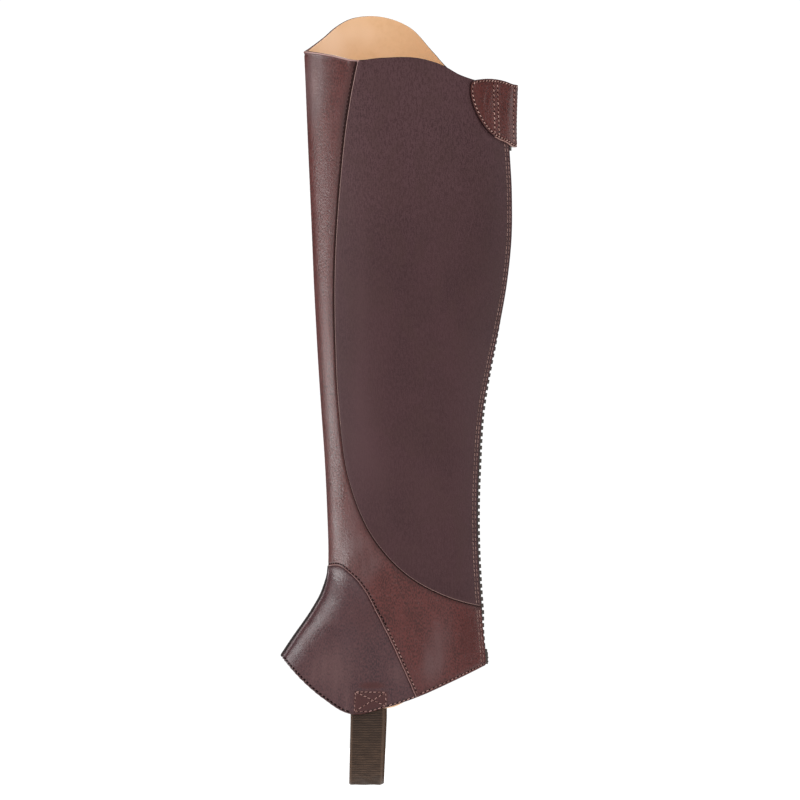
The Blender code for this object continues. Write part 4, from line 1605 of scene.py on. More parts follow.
@dataclass
class Upper:
    """The leather pieces that are sewn up into the chap's wall.

    The fields after groove say how far from the rim, the seams, the split in the hem and the back edge each
    row of stitches starts or stops, and between which x the strap's box takes the hem's row.
    """

    pattern: Pattern
    finishes: Finishes
    thickness: float = 1.25
    lap: float = 1.0
    seam_row: float = 1.45
    hem_row: float = 1.25
    quarter_hem_row: float = 2.1
    calf_mark: float = 1.9
    marks_show: float = 30.0
    seam_turn: float = -150.0
    thread_shows: float = -292.0
    groove: float = 1.3
    under_rim: float = 4.0
    over_seam: float = 1.5
    under_seam: float = 2.5
    over_hem: float = 2.0
    marks_start: int = 8
    seam_start: float = 1.5
    hem_start: float = 3.0
    before_split: float = 1.2
    after_split: float = 1.4
    before_back: float = 2.5
    strap_front: float = -40.0
    strap_back: float = -15.5
    box_corners: Rows = ((-38.4, -336.7), (-17.0, -337.0), (-16.8, -346.8), (-28, -350.2), (-39.3, -350.6))
    creases: Sequence[Crease] = (
        *soft_marks(Side.INNER, (
            (-36, -240, 20, 17, 9.0, 1.7), (-24, -246, -34, 16, 5.0, -0.5), (-28, -232, -38, 16, 5.0, 0.45),
            (-12, -262, -42, 18, 4.5, -0.5), (2, -268, -30, 20, 5.0, 0.5), (20, -296, 6, 26, 5.5, -0.45),
            (30, -298, 2, 24, 4.5, 0.4), (12, -306, 16, 22, 5.0, 0.35), (-44, -278, 24, 22, 9.0, 0.5),
            (-60, -312, 40, 22, 9.0, -0.5), (-40.4, 103.6, 14, 3.0, 1.7, 0.9), (-34, 100, 4, 9, 2.4, 0.45),
            (-30.5, 100, -3, 8, 1.3, -0.35), (-26.5, 99, -6, 12, 1.6, 0.30), (-21, 99, -4, 11, 1.5, -0.22),
            (-41, 101, 12, 9, 2.6, 0.35), (28, -60, 8, 60, 14, -0.6), (-14, -30, -4, 90, 18, 0.5),
            (8, -180, 10, 50, 12, 0.45),
        )),
        *soft_marks(Side.OUTER, (
            (-46, -240, 20, 14, 5.0, 0.8), (-30, -238, -34, 15, 4.5, -0.6), (-8, -262, -36, 20, 5.0, 0.55),
            (10, -290, -10, 24, 5.0, -0.45), (26, -300, 8, 24, 5.0, 0.5), (-58, -306, 36, 22, 8.0, 0.4),
            (18, -90, 6, 55, 13, -0.7), (-20, -10, -6, 80, 16, 0.5), (34, 40, 4, 40, 10, 0.5),
            (-30, 104, 3, 14, 2.6, 0.4), (20, -210, 14, 40, 11, 0.4),
        )),
    )
    # Painted light and shade on the shin's leather: highlights high on the shin, ankle and quarter, shade by
    # the seam.
    shin_shades: Sequence[Mark] = (
        *soft_marks(Side.INNER, (
            (22, -300, 6, 22, 9, -0.4), (12, -312, 10, 16, 5, -0.3), (17, -322, 12, 12, 7, -0.5),
            (-28, -250, 35, 18, 8, -0.6), (41, -298, 2, 24, 7, 0.35), (0, -286, 40, 16, 6, 0.2),
            (-44, -224, 10, 26, 7, -0.45), (-30, -234, 30, 14, 6, -0.3), (-45.4, 66, 9, 27, 2.7, 0.8),
            (-40.2, 101.5, 10, 5, 1.3, 0.6), (-56, 92, 2, 22, 6, -0.3), (-67, 88, 2, 24, 6, -1.6),
            (-38, -236, 20, 14, 7, -0.5), (-56, 8, 2, 24, 7, 0.15),
        )),
        *soft_marks(Side.OUTER, (
            (18, -304, 0, 24, 9, -0.5), (38, -296, 4, 22, 7, 0.3), (-42, -230, 12, 26, 8, -0.4),
            (2, -282, 30, 18, 6, 0.2),
        )),
    )
    # Painted light and shade on the calf panels: darker towards the zip, lighter towards the front, and on
    # the wrinkles.
    calf_shades: Sequence[Mark] = (
        *soft_marks(Side.INNER, (
            (58, -40, 0, 120, 22, 0.22), (20, 0, 4, 60, 26, 0.14), (-30, -170, -14, 60, 14, -0.45),
            (8, -190, -30, 50, 20, -0.22), (-12, 84, 0, 30, 24, -0.3), (-34, -60, 0, 90, 6, -0.3),
            (-43.5, 10, 2, 50, 2.4, 0.14), (-35.2, 103.2, 32, 3.0, 0.5, -0.8),
            (-34.0, 103.4, 34, 3.2, 0.6, 0.6), (-32.6, 103.2, 36, 3.2, 0.5, -0.9),
            (-31.3, 103.8, 36, 3.0, 0.6, 0.5), (-28.6, 104.4, 38, 2.6, 0.5, -0.5),
        )),
        *soft_marks(Side.OUTER, (
            (56, -50, 0, 110, 22, 0.22), (-20, -150, -12, 70, 16, -0.4), (-8, 80, 0, 40, 22, -0.3),
        )),
    )
    strap_press: Sequence[float] = (-40.4, -16.2, -336.6, -360.0, 1.1, -1.1)
    strap_folds: Rows = (
        (-43.0, -346, 3, 12, 2.0, 1.1), (-28, -333.0, 90, 14, 2.4, 0.9), (-13.2, -343, 0, 9, 2.2, 0.6),
        (-47, -330, 10, 16, 6.0, 0.35),
    )
    # The strap's box: painted shade, with the pressed leather's darker colour.
    strap_box_press_and_shade: Sequence[float] = (-39.4, -16.2, -336.4, -360.0, 0.9, 0.55)
    # Painted shadow above the strap's box, a painted highlight beside it, and lighter and darker patches on
    # the vamp.
    strap_shades: Rows = (
        (-27, -332.4, 90, 12, 2.4, 0.62), (-43.2, -345, 3, 9, 1.3, -0.7), (-36, -292, 28, 30, 16, 0.26),
        (-60, -318, 40, 26, 12, -0.6), (-47, -328, 20, 22, 10, -0.55), (-6, -322, 20, 14, 8, -0.5),
    )

    def __post_init__(self) -> None:
        """Keeps the cuts, which the stitches need again."""
        self.sheets: dict[str, Sheet] = {}

    def _shin(self) -> Sheet:
        """The stiff front, which widens at the ankle and runs round to the zip on both sides.

        Returns:
            Its cut.
        """
        p, wall = self.pattern, self.pattern.wall
        parts = {}
        for side in Side:
            seam = p.calf_run(side, self.lap)
            vamp = p.vamp_run()
            rim = wall.on_wall(p.between(p.rim_line(side), float(wall.front(p.rim_front)), p.calf_seam_top))
            rim = np.vstack((rim, seam[:1]))
            rim[0, 0] = 0
            hem = wall.on_wall(p.between(p.hem_line(), p.vamp_seam_hem, float(wall.back(p.hem_back))))
            hem[0] = vamp[-1]
            back = p.back_edge(float(seam[-1, 1]), p.hem_back)
            seam = np.vstack((seam[:-1], back[:1]))
            hem = np.vstack((hem[:-1], back[-1:]))
            parts[side] = mirrored(side, rim=rim, seam=seam, back=back, hem=hem, vamp=vamp)
        near, far = parts[Side.INNER], parts[Side.OUTER]
        edges = {
            "rim": joined(near["rim"][::-1], far["rim"]),
            **{f"outer_{key}": far[key] for key in ("seam", "back")},
            "outer_hem": far["hem"][::-1],
            "vamp": joined(far["vamp"][::-1], near["vamp"]),
            "inner_hem": near["hem"],
            **{f"inner_{key}": near[key][::-1] for key in ("back", "seam")},
        }
        # Under the calf panel's edge the material paints shade beside the seam.
        seam = EdgeStyle(fall=0.8, flat=self.lap + 0.3, fall_way=1.9, bed=True)
        hem = EdgeStyle(
            fall=0.9, fall_way=0.8, bumps=((0.8, 0.1, 0.7),), shade_and_dark_edge=0.6, sewn=(self.quarter_hem_row,)
        )
        bumps = (0.9, 0.32, 0.6), (2.5, -0.28, 0.9)
        # The rim's pale line is a painted highlight on its rolled edge, above a dark raw edge.
        rim = EdgeStyle(fall=0.95, fall_way=0.7, bumps=bumps, wear_and_highlight=1.1, wear=1.5, shade_and_dark_edge=0.3)
        bumps = ((0.5, 0.25, 0.45),)
        # The quarter's pale line over the vamp seam is partly a painted highlight on its ridge.
        vamp = EdgeStyle(fall=0.9, fall_way=0.3, bumps=bumps, wear_and_highlight=0.6, wear=0.9, sewn=(self.seam_row,))
        styles = {"rim": rim, "outer_seam": seam, "inner_seam": seam, "outer_back": ZIP_EDGE}
        styles |= {"inner_back": ZIP_EDGE, "outer_hem": hem, "inner_hem": hem, "vamp": vamp}
        return Sheet(
            "shin_leather",
            wall,
            edges,
            styles,
            self.thickness,
            creases=self.creases,
            wave=0.06,
            cut_width=2 * float(wall.reach(wall.ankle)),
            shades=self.shin_shades,
        )

    def _calf(self, side: int) -> Sheet:
        """The soft panel of one side, which laps over the shin's leather.

        Args:
            side: The side.

        Returns:
            Its cut.
        """
        p, wall = self.pattern, self.pattern.wall
        seam = p.calf_run(side)
        rim = wall.on_wall(p.between(p.rim_line(side), p.calf_seam_top, float(wall.back(p.rim_back))))
        rim[0] = seam[0]
        back = p.back_edge(p.rim_back, float(seam[-1, 1]))
        rim[-1], back[-1] = back[0], seam[-1]
        seam = seam[::-1]
        turn = int(np.searchsorted(seam[:, 1], self.seam_turn))
        edges = mirrored(side, rim=rim, back=back, seam_foot=seam[: turn + 1], seam=seam[turn:])
        swell = (3.2, 0.1, 2.2)
        styles = {
            "rim": EdgeStyle(fall=0.95, fall_way=1.0, bumps=((1.1, 0.2, 0.9), (3.0, -0.2, 1.2)), shade_and_dark_edge=0.5),
            "back": ZIP_EDGE,
            # The pale line at the seam's edge is partly a painted highlight.
            "seam_foot": EdgeStyle(fall=0.7, fall_way=0.3, bumps=(swell,), wear_and_highlight=0.42, wear=0.75),
            "seam": EdgeStyle(fall=0.7, fall_way=0.4, bumps=((0.5, 0.10, 0.5), swell), wear_and_highlight=0.68, wear=1.2),
        }
        name = f"{WORDS[side]}_calf_leather"
        looks = {"creases": self.creases, "wave": 0.12, "shades": self.calf_shades}
        return Sheet(name, wall, edges, styles, self.thickness, **looks)

    def _vamp(self, side: int) -> Sheet:
        """One side's piece over the instep, which is tucked under the quarter.

        Args:
            side: The side.

        Returns:
            Its cut.
        """
        p, wall = self.pattern, self.pattern.wall
        seam = p.vamp_run(self.lap, self.groove)
        hem = wall.on_wall(p.between(p.hem_line(), float(wall.front(p.hem_front)), p.vamp_seam_hem))
        hem = hem[hem[:, 0] > self.groove + 0.3]
        foot = np.array(crossing(hem, self.groove))
        instep = np.linspace(foot, (self.groove, seam[0, 1]), 40)
        hem = np.vstack((instep[:1], hem[:-1], seam[-1:]))[::-1]
        bumps = (0.9, 0.35, 0.55), (3.2, -0.5, 1.5)
        styles = {
            # Under the quarter's edge the material paints a faint shade beside the seam.
            "seam": EdgeStyle(fall=0.65, flat=self.lap + 0.3, fall_way=1.3, bed=True),
            "hem": EdgeStyle(fall=0.9, fall_way=0.8, bumps=((0.8, 0.1, 0.7),), sewn=(self.hem_row,)),
            # The pale line along the instep is a painted highlight on the turned edge.
            "instep": EdgeStyle(fall=0.9, fall_way=0.5, bumps=bumps, wear_and_highlight=0.9, wear=0.45),
        }
        edges = mirrored(side, seam=seam, hem=hem, instep=instep)
        creases = (*self.creases, Press(side, *self.strap_press), *soft_marks(side, self.strap_folds))
        shades = (Press(side, *self.strap_box_press_and_shade), *soft_marks(side, self.strap_shades))
        looks = {"creases": creases, "wave": 0.06, "shades": shades}
        return Sheet(f"{WORDS[side]}_vamp_leather", wall, edges, styles, self.thickness, **looks)

    def build(self) -> None:
        """Makes the five pieces."""
        looks = self.finishes
        shin = self.sheets["shin"] = self._shin()
        tapes = ["inner_zip_tape", "outer_zip_tape"]
        shin.build(looks.smooth, "smooth_leather", ["shin_panel"], ["lining", *tapes])
        for side, word in WORDS.items():
            calf = self.sheets[f"{word}_calf"] = self._calf(side)
            below = ["shin_leather", f"{word}_zip_tape"]
            calf.build(looks.soft, "soft_leather", [f"{word}_calf_panel"], below)
            vamp = self.sheets[f"{word}_vamp"] = self._vamp(side)
            vamp.build(looks.vamp, "smooth_leather", [f"{word}_vamp"], ["shin_leather", "instep_piping"])

    def sew(self) -> None:
        """Sews the rows along the zip, the seams, the hem and the strap's ends."""
        p = self.pattern
        zips = Needlework("zip_topstitching", 11)
        seams = Needlework("seam_stitching", 23)
        hems = Needlework("hem_stitching", 37)
        boxes = Needlework("strap_stitching", 51)
        shin = self.sheets["shin"]
        for side, word in WORDS.items():
            sign = (int(side), 1)
            calf, vamp = self.sheets[f"{word}_calf"], self.sheets[f"{word}_vamp"]
            for row in ZIP_ROWS:
                upper = p.back_edge(p.rim_back - self.under_rim, p.calf_seam_back + self.over_seam, row)
                lower = p.back_edge(p.calf_seam_back - self.under_seam, p.hem_back + self.over_hem, row)
                zips.row(p.wall, upper * sign, ZIP_ROW, calf.relief)
                zips.row(p.wall, lower * sign, ZIP_ROW, shin.relief)
            marks = p.calf_run(side, -self.calf_mark)
            marks = marks[marks[:, 1] > self.marks_show]
            seams.row(p.wall, marks[self.marks_start :] * sign, CALF_MARK, shin.relief)
            over = p.vamp_run(self.seam_row)
            over = over[over[:, 0] > self.seam_start]
            hem = p.hem_line()
            level = np.interp(p.wall.at(over)[:, 0], hem[:, 0], hem[:, 1])
            over = over[over[:, 1] > level + self.over_hem]
            seams.row(p.wall, over[over[:, 1] > self.thread_shows] * sign, SEAM_ROW, shin.relief)
            hems.row(p.wall, over[over[:, 1] < self.thread_shows] * sign, SEAM_FOOT_ROW, shin.relief)
            split = p.wall.run_of(*crossing(hem, p.vamp_seam_hem))
            hem = p.wall.on_wall(hem)
            front = aside(hem, self.hem_row)
            front = front[(front[:, 0] > self.hem_start) & (front[:, 0] < split - self.before_split)]
            places = p.wall.at(front)[:, 0]
            seams.row(p.wall, front[places < self.strap_front] * sign, DARK_HEM_ROW, vamp.relief)
            hems.row(p.wall, front[places > self.strap_back] * sign, HEM_ROW, vamp.relief)
            quarter = aside(hem, self.quarter_hem_row)
            end = p.wall.reach(p.hem_back) - self.before_back
            quarter = quarter[(quarter[:, 0] > split + self.after_split) & (quarter[:, 0] < end)]
            hems.row(p.wall, quarter * sign, HEM_ROW, shin.relief)
            self._sew_box(boxes, side, vamp)
        looks = self.finishes
        zips.build(looks.zip_thread, looks.hole)
        seams.build(looks.dark_thread, looks.hole)
        hems.build(looks.brown_thread, looks.hole)
        boxes.build(looks.brown_thread, looks.hole)

    def _sew_box(self, boxes: Needlework, side: int, vamp: Sheet) -> None:
        """Sews the crossed box that holds one end of the strap.

        Args:
            boxes: The stitches so far.
            side: The side.
            vamp: The cut that is sewn.
        """
        wall = self.pattern.wall
        a, b, c, d, e = self.box_corners
        for line in ((a, b), (b, c), (c, d, e), (e, a), (a, c), (b, e)):
            boxes.row(wall, wall.on_wall(np.array(line), side), BOX_ROW, vamp.relief)


@dataclass
class Lining:
    """The thin leather lining, which shows inside the high top and just below the hem."""

    pattern: Pattern
    inset: float = 2.05
    thickness: float = 0.9
    edge: float = 12.8
    below_rim: float = 0.12
    below_corner: float = 0.7
    corner_way: float = 15.0
    above_hem: float = 0.7
    sag: float = 1.7
    sag_x: float = -11.0
    sag_way: float = 8.0
    # Painted light towards the front and along the top of the lining, and painted shade further back.
    shades: Sequence[Mark] = (
        *soft_marks(Side.OUTER, (
            (-60, 116, -20, 16, 14, -1.0), (-30, 124, 90, 30, 6, -0.3), (8, 112, 0, 30, 16, 0.6),
        )),
    )

    def sheet(self) -> Sheet:
        """The lining's cut.

        Returns:
            The cut.
        """
        p, wall = self.pattern, self.pattern.wall
        parts = {}
        for side in Side:
            rim = wall.on_wall(p.rim_line(side))
            rim[:, 1] -= self.below_rim + self.below_corner * np.exp(-((rim[:, 0] / self.corner_way) ** 2))
            rim = rim[rim[:, 0] < wall.reach(rim[:, 1]) - self.edge]
            rim[0, 0] = 0
            hem = p.hem_line()
            sag = np.exp(-(((hem[:, 0] - self.sag_x) / self.sag_way) ** 2)) * (side == Side.INNER)
            drop = self.sag * sag - self.above_hem
            hem = wall.on_wall(np.column_stack((hem[:, 0], hem[:, 1] - drop)))
            hem = hem[hem[:, 0] < wall.reach(hem[:, 1]) - self.edge]
            hem[0, 0] = 0
            back = p.back_edge(float(rim[-1, 1]), float(hem[-1, 1]), self.edge)
            rim, hem = np.vstack((rim, back[:1])), np.vstack((hem, back[-1:]))
            parts[side] = mirrored(side, rim=rim, back=back, hem=hem)
        near, far = parts[Side.INNER], parts[Side.OUTER]
        edges = {
            "rim": joined(near["rim"][::-1], far["rim"]),
            "outer_back": far["back"],
            "hem": joined(far["hem"][::-1], near["hem"]),
            "inner_back": near["back"][::-1],
        }
        styles = dict.fromkeys(edges, EdgeStyle(fall=0.4, fall_way=0.5))
        looks = {"wave": 0.22, "spacing": 4.0, "station": 2.5, "shades": self.shades}
        return Sheet("tan_lining", wall, edges, styles, self.thickness, -self.inset, **looks)

    def build(self, material: bpy.types.Material) -> None:
        """Makes the lining."""
        self.sheet().build(material, "tan_lining", ["lining"], ["shin_leather", "inner_calf_leather"])


@dataclass
class Piping:
    """The covered cord between the two vamps."""

    pattern: Pattern
    radius: float = 1.25
    sides: int = 14
    rows: int = 90
    proud: float = 0.35
    top_sink: float = 1.0
    top_fade: float = 16.0
    tuck: float = 4.0
    tuck_sink: float = 2.2
    below_hem: float = 0.4

    def build(self, material: bpy.types.Material) -> None:
        """Makes the cord, with round ends.

        Args:
            material: Its material.
        """
        p, wall = self.pattern, self.pattern.wall
        rows = self.rows
        top = p.vamp_seam_front
        levels = np.linspace(top + self.tuck, p.hem_front + self.below_hem, rows)
        sunk = self.tuck_sink * rise(levels, top - 0.5, top + 2.0)
        sunk = sunk + self.top_sink * rise(levels, top - self.top_fade, top)
        middle = np.column_stack((wall.front(levels) - self.proud + sunk, np.zeros(rows), levels))
        across = np.array((0.0, 1.0, 0.0))
        out = np.cross(unit(np.gradient(middle, axis=0)), across)
        turns = np.linspace(0, 2 * math.pi, self.sides, endpoint=False)
        way = lengths(middle)
        ends = np.minimum(way, way[-1] - way)
        radius = self.radius * np.sqrt(1 - (1 - np.clip(ends / self.radius, 0.06, 1)) ** 2)
        radius = radius * (1 + 0.02 * np.sin(way * 1.7))
        rings = [middle + radius[:, None] * (math.cos(t) * out + math.sin(t) * across) for t in turns]
        points = np.stack(rings, axis=1).reshape(-1, 3)
        faces = [face[:1] + face[:0:-1] for face in ring_faces(rows, self.sides)]
        last = (rows - 1) * self.sides
        faces += [tuple(range(self.sides))[::-1], tuple(last + k for k in range(self.sides))]
        zero = np.zeros(len(points))
        cloth = np.column_stack((np.tile(turns, rows), np.repeat(way, self.sides), zero)) * MM
        facts = {"cloth": cloth, "wear_and_highlight": zero, "sewn": zero, "shade": zero, "bed": zero + FAR}
        new_piece(mesh_of("piping_cord", points, faces, facts), [material], "piping", "instep_piping")


# ---- The zip ----


@dataclass
class Template:
    """A small hard shape of rounded blocks, which is copied along a line."""

    blocks: Sequence[Rows]
    rounding: float = 0.35
    segments: int = 2

    def shape(self) -> tuple[Points, list[list[int]]]:
        """The shape about its own origin.

        Returns:
            Its points and its faces.
        """
        work = bmesh.new()
        for low, high in self.blocks:
            made = bmesh.ops.create_cube(work, size=1)
            for vert in made["verts"]:
                vert.co = [lo + (hi - lo) * (c + 0.5) for c, lo, hi in zip(vert.co, low, high)]
        rounding = {"offset": self.rounding, "segments": self.segments, "profile": 0.6, "affect": "EDGES"}
        bmesh.ops.bevel(work, geom=work.edges[:], clamp_overlap=True, **rounding)
        return taken_from(work)


@dataclass
class Zip:
    """The closed zip up the back: two tapes, the teeth, the box, and the slider with its pull.

    The pull's outline and hole are each half their width, how square they are across, the level of the
    middle, half their height, and how square they are up and down.
    """

    wall: Wall
    finishes: Finishes
    rise: Rows = (
        (82, -1.7), (-60, -1.5), (-80, -0.6), (-98, 0.1), (-145, 0.5), (-180, 1.1), (-282, 1.0),
        (-294, -0.2), (-305.8, -0.4),
    )
    turn: float = 0.6
    pitch: float = 4.6
    tooth: float = 2.9
    half_width: float = 3.4
    tape_width: float = 12.0
    tape_cut: float = 16.0
    tape_inset: float = 0.6
    tape_top: float = 84.0
    tape_bottom: float = -315.0
    tape_depth: float = 1.95
    tape_thickness: float = 0.6
    tape_free: Rows = ((4.3, 1.6), (3.0, 2.0), (1.6, 2.1))
    box_top: float = -307.2
    box_bottom: float = -317.8
    box_proud: float = 1.5
    box_depth: float = 4.4
    slider_top: float = 80.0
    slider_bottom: float = 66.0
    pull_tip: float = 42.4
    pull_corners: int = 48
    pull_thickness: float = 1.5
    pull_outline: Sequence[float] = (2.4, 0.7, 57.2, 15.8, 0.45)
    pull_hole: Sequence[float] = (1.15, 0.8, 56.6, 10.0, 0.6)

    def face(self, level: Union[float, Points]) -> Points:
        """The x of the middle of the teeth's outer faces."""
        rows = np.array(self.rise[::-1], float)
        return self.wall.back(level) + np.interp(level, rows[:, 0], rows[:, 1])

    def build(self) -> None:
        """Makes every piece of the zip."""
        for side, word in WORDS.items():
            self._tape(side, word)
        self._teeth()
        self._box()
        self._slider()
        self._pull()

    def _tape(self, side: int, word: str) -> None:
        """One woven tape, from under the leather out to its teeth.

        Args:
            side: The side.
            word: The side's name.
        """
        levels = np.arange(self.tape_top, self.tape_bottom, -2.0)
        insets = np.linspace(self.tape_width, self.tape_inset, 9)
        reach = self.wall.reach(levels)
        places = np.array([(side * (r - inset), z) for r, z in zip(reach, levels) for inset in insets])
        layers = []
        for depth in (self.tape_depth, self.tape_depth + self.tape_thickness):
            rows = [self.wall.place(places, -depth).reshape(len(levels), len(insets), 3)]
            for y, back in self.tape_free:
                x = self.face(levels) - back - (depth - self.tape_depth)
                rows.append(np.column_stack((x, np.full(len(levels), side * y), levels))[:, None])
            layers.append(np.concatenate(rows, axis=1))
        columns = layers[0].shape[1]
        faces = grid_faces(len(levels), columns)
        if side == Side.INNER:
            faces = faces[:, ::-1]
        across = np.tile(np.concatenate((insets, (-1.2, -2.6, -4.0))), len(levels))
        cloth = np.column_stack((across, np.repeat(levels, columns), np.zeros(len(across)))) * MM
        none = np.zeros(2 * len(cloth))
        facts = {"cloth": np.vstack((cloth, cloth)), "wear_and_highlight": none, "shade": none}
        points = np.vstack([layer.reshape(-1, 3) for layer in layers])
        mesh = mesh_of(f"{word}_woven_tape", points, closed_shell(faces, len(across)), facts)
        made = new_piece(mesh, [self.finishes.tape], "zip_tape", f"{word}_zip_tape")

    def _teeth(self) -> None:
        """The interlocked teeth, of which the inner side's stand a little prouder."""
        half, neck, head = self.tooth / 2, 1.12, 0.78
        blocks = (
            ((-3.2, -self.half_width, -half), (0.0, -0.55, half)),
            ((-2.7, -1.0, -neck), (-0.35, 0.52, neck)),
            ((-2.6, 0.2, -head), (-0.45, 1.2, head)),
            ((-2.65, -1.1, -neck - 0.16), (-1.2, 1.85, neck + 0.16)),
        )
        shape, faces = Template(blocks, 0.32).shape()
        points, all_faces = [], []
        bottom, top = self.rise[-1][0] + half, self.rise[0][0] - half
        for side in Side:
            start = bottom + (self.pitch / 2 if side == Side.OUTER else 0.0)
            for level in np.arange(start, top, self.pitch):
                lean = float(self.face(level + 2) - self.face(level - 2)) / 4
                up = np.array((lean, 0, 1.0)) / math.hypot(lean, 1)
                out = np.array((up[2], 0, -up[0]))
                centre = np.array((float(self.face(level)) - side * self.turn, 0.0, level))
                across = np.array((0.0, -float(side), 0.0))
                first = len(points) * len(shape)
                all_faces += [[corner + first for corner in face[:: -int(side)]] for face in faces]
                points.append(centre + shape[:, :1] * out + shape[:, 1:2] * across + shape[:, 2:] * up)
        mesh = mesh_of("zip_teeth", np.vstack(points), all_faces)
        new_piece(mesh, [self.finishes.resin], "zip_resin", "zip_chain")

    def _box(self) -> None:
        """The box at the foot, with its pin and the stop above it."""
        back = float(self.wall.back((self.box_top + self.box_bottom) / 2)) + self.box_proud
        low, top, bottom = back - self.box_depth, self.box_top, self.box_bottom
        wide = self.half_width
        blocks = (
            ((low, -wide, bottom), (back, wide, top - 2.2)),
            ((low + 0.4, -wide, top - 3.0), (back - 0.5, -0.7, top)),
            ((low + 0.4, 0.7, top - 3.0), (back - 0.9, wide, top)),
            ((low + 0.6, -1.7, top - 3.0), (back - 1.8, -0.4, top + 1.3)),
            ((low + 0.6, -0.6, top - 3.0), (back - 1.9, 1.7, top + 1.65)),
            ((low + 0.6, -0.5, top - 3.0), (back - 2.8, 2.3, top + 3.5)),
            ((back - 0.6, -wide + 0.8, bottom + 1.2), (back + 0.35, wide - 0.8, bottom + 2.4)),
            ((back - 0.6, -wide + 0.8, bottom + 4.0), (back + 0.35, wide - 0.8, bottom + 5.2)),
        )
        mesh = mesh_of("zip_stop_box", *Template(blocks, 0.4, 3).shape())
        new_piece(mesh, [self.finishes.resin], "zip_resin", "zip_box")

    def _slider(self) -> None:
        """The slider: a waisted front plate, its two flanges and the bridge for the pull."""
        top, bottom = self.slider_top, self.slider_bottom
        face = float(max(self.face(top), self.face(bottom))) + self.turn + 0.4 + 1.0
        blocks = (
            ((face - 1.0, -3.5, top - 6.0), (face, 3.5, top)),
            ((face - 1.0, -2.9, bottom), (face, 2.9, top - 5.0)),
            ((face - 2.4, -3.9, top - 7.0), (face - 0.3, -3.3, top - 0.6)),
            ((face - 2.4, 3.3, top - 7.0), (face - 0.3, 3.9, top - 0.6)),
            ((face - 0.2, -1.1, top - 3.4), (face + 1.2, 1.1, top - 2.2)),
            ((face + 0.6, -1.1, bottom + 4.4), (face + 1.4, 1.1, top - 2.6)),
            ((face - 0.2, -1.1, bottom + 3.6), (face + 1.2, 1.1, bottom + 4.8)),
        )
        mesh = mesh_of("slider_body", *Template(blocks, 0.22, 3).shape())
        new_piece(mesh, [self.finishes.metal], "dark_metal", "zip_slider")

    def _pull(self) -> None:
        """The pull, an open plate that hangs under the tab."""
        top = float(max(self.face(self.slider_top), self.face(self.slider_bottom))) + self.turn + 1.8
        tip = float(self.face(self.pull_tip)) + self.turn + 0.75
        lean = (top - tip) / (self.slider_bottom - self.pull_tip)
        turns = np.linspace(0, 2 * math.pi, self.pull_corners, endpoint=False)
        work = bmesh.new()
        loops = []
        for depth in (0.0, self.pull_thickness):
            for wide, square, middle, tall, blunt in (self.pull_outline, self.pull_hole):
                y, z = np.sin(turns), -np.cos(turns)
                y = wide * np.sign(y) * np.abs(y) ** square
                z = middle + tall * np.sign(z) * np.abs(z) ** blunt
                x = np.minimum(top, tip + lean * (z - self.pull_tip)) + depth
                loops.append([work.verts.new(point) for point in zip(x, y, z)])
        low_out, low_in, high_out, high_in = loops
        for k in range(self.pull_corners):
            n = (k + 1) % self.pull_corners
            work.faces.new((low_out[k], low_out[n], low_in[n], low_in[k]))
            work.faces.new((high_out[n], high_out[k], high_in[k], high_in[n]))
            work.faces.new((low_out[n], low_out[k], high_out[k], high_out[n]))
            work.faces.new((low_in[k], low_in[n], high_in[n], high_in[k]))
        bmesh.ops.recalc_face_normals(work, faces=work.faces[:])
        sharp = [edge for edge in work.edges if edge.calc_face_angle(0) > 0.9]
        bmesh.ops.bevel(work, geom=sharp, offset=0.22, segments=2, profile=0.6, affect="EDGES")
        mesh = mesh_of("pull_plate", *taken_from(work))
        new_piece(mesh, [self.finishes.metal], "dark_metal", "zip_pull")


# ---- The snap tab ----


@dataclass
class TabSurface(Surface):
    """The tab's inner face, with the way round from the middle of its bend."""

    wall: Wall
    facing: int = -1
    bend: float = 2.6
    gap: float = 0.4
    lift: float = 1.25
    lift_lean: float = 0.035
    lift_level: float = 66.0
    lift_way: float = 14.0
    low: float = 36.0
    high: float = 100.0
    reach: float = 78.0

    def __post_init__(self) -> None:
        """Reads the path at every level once."""
        self.levels = np.arange(self.low, self.high + 1)
        self.ways = np.linspace(0, self.reach, 313)
        self.table = np.zeros((len(self.levels), len(self.ways), 2))
        angle = math.atan(self.wall.edge_slope)
        for k, level in enumerate(self.levels):
            back = float(self.wall.back(level))
            sharp = back + self.wall.edge_half_gap / self.wall.edge_slope
            lift = self.lift + self.lift_lean * (level - self.lift_level)
            centre = sharp + (self.gap + lift - self.bend) / math.sin(angle)
            turns = np.linspace(0, math.pi / 2 - angle, 24)
            bend = np.column_stack((centre + self.bend * np.cos(turns), self.bend * np.sin(turns)))
            before = np.linspace(0.5, self.reach, 200)
            out = self.gap + lift * np.clip(1 - before / self.lift_way, 0, 1) ** 2
            places = np.column_stack((float(self.wall.reach(level)) - before, np.full(200, level)))
            line = np.vstack((bend, self.wall.place(places, out)[:, :2]))
            way = lengths(line)
            for axis in (0, 1):
                self.table[k, :, axis] = np.interp(self.ways, way, line[:, axis])

    def at(self, places: Points) -> Points:
        """The tab's points.

        Args:
            places: The (way, level) places.

        Returns:
            The points, in millimetres.
        """
        way, level = np.asarray(places, float).T
        x, y = look_up(self.table, level - self.levels[0], np.abs(way) / (self.ways[1] - self.ways[0])).T
        return np.column_stack((x, np.sign(way) * y, level))

    def way_of(self, x: float, level: float) -> float:
        """How far round on the inner side a point is that the side view shows at x."""
        k = int(np.clip(round(level - self.levels[0]), 0, len(self.levels) - 1))
        return -float(np.interp(x, self.table[k, ::-1, 0], self.ways[::-1]))

    def on_tab(self, line: Rows) -> list[tuple[float, float]]:
        """A side-view line of (x, level) on the inner side as (way, level)."""
        return [(self.way_of(x, level), level) for x, level in line]


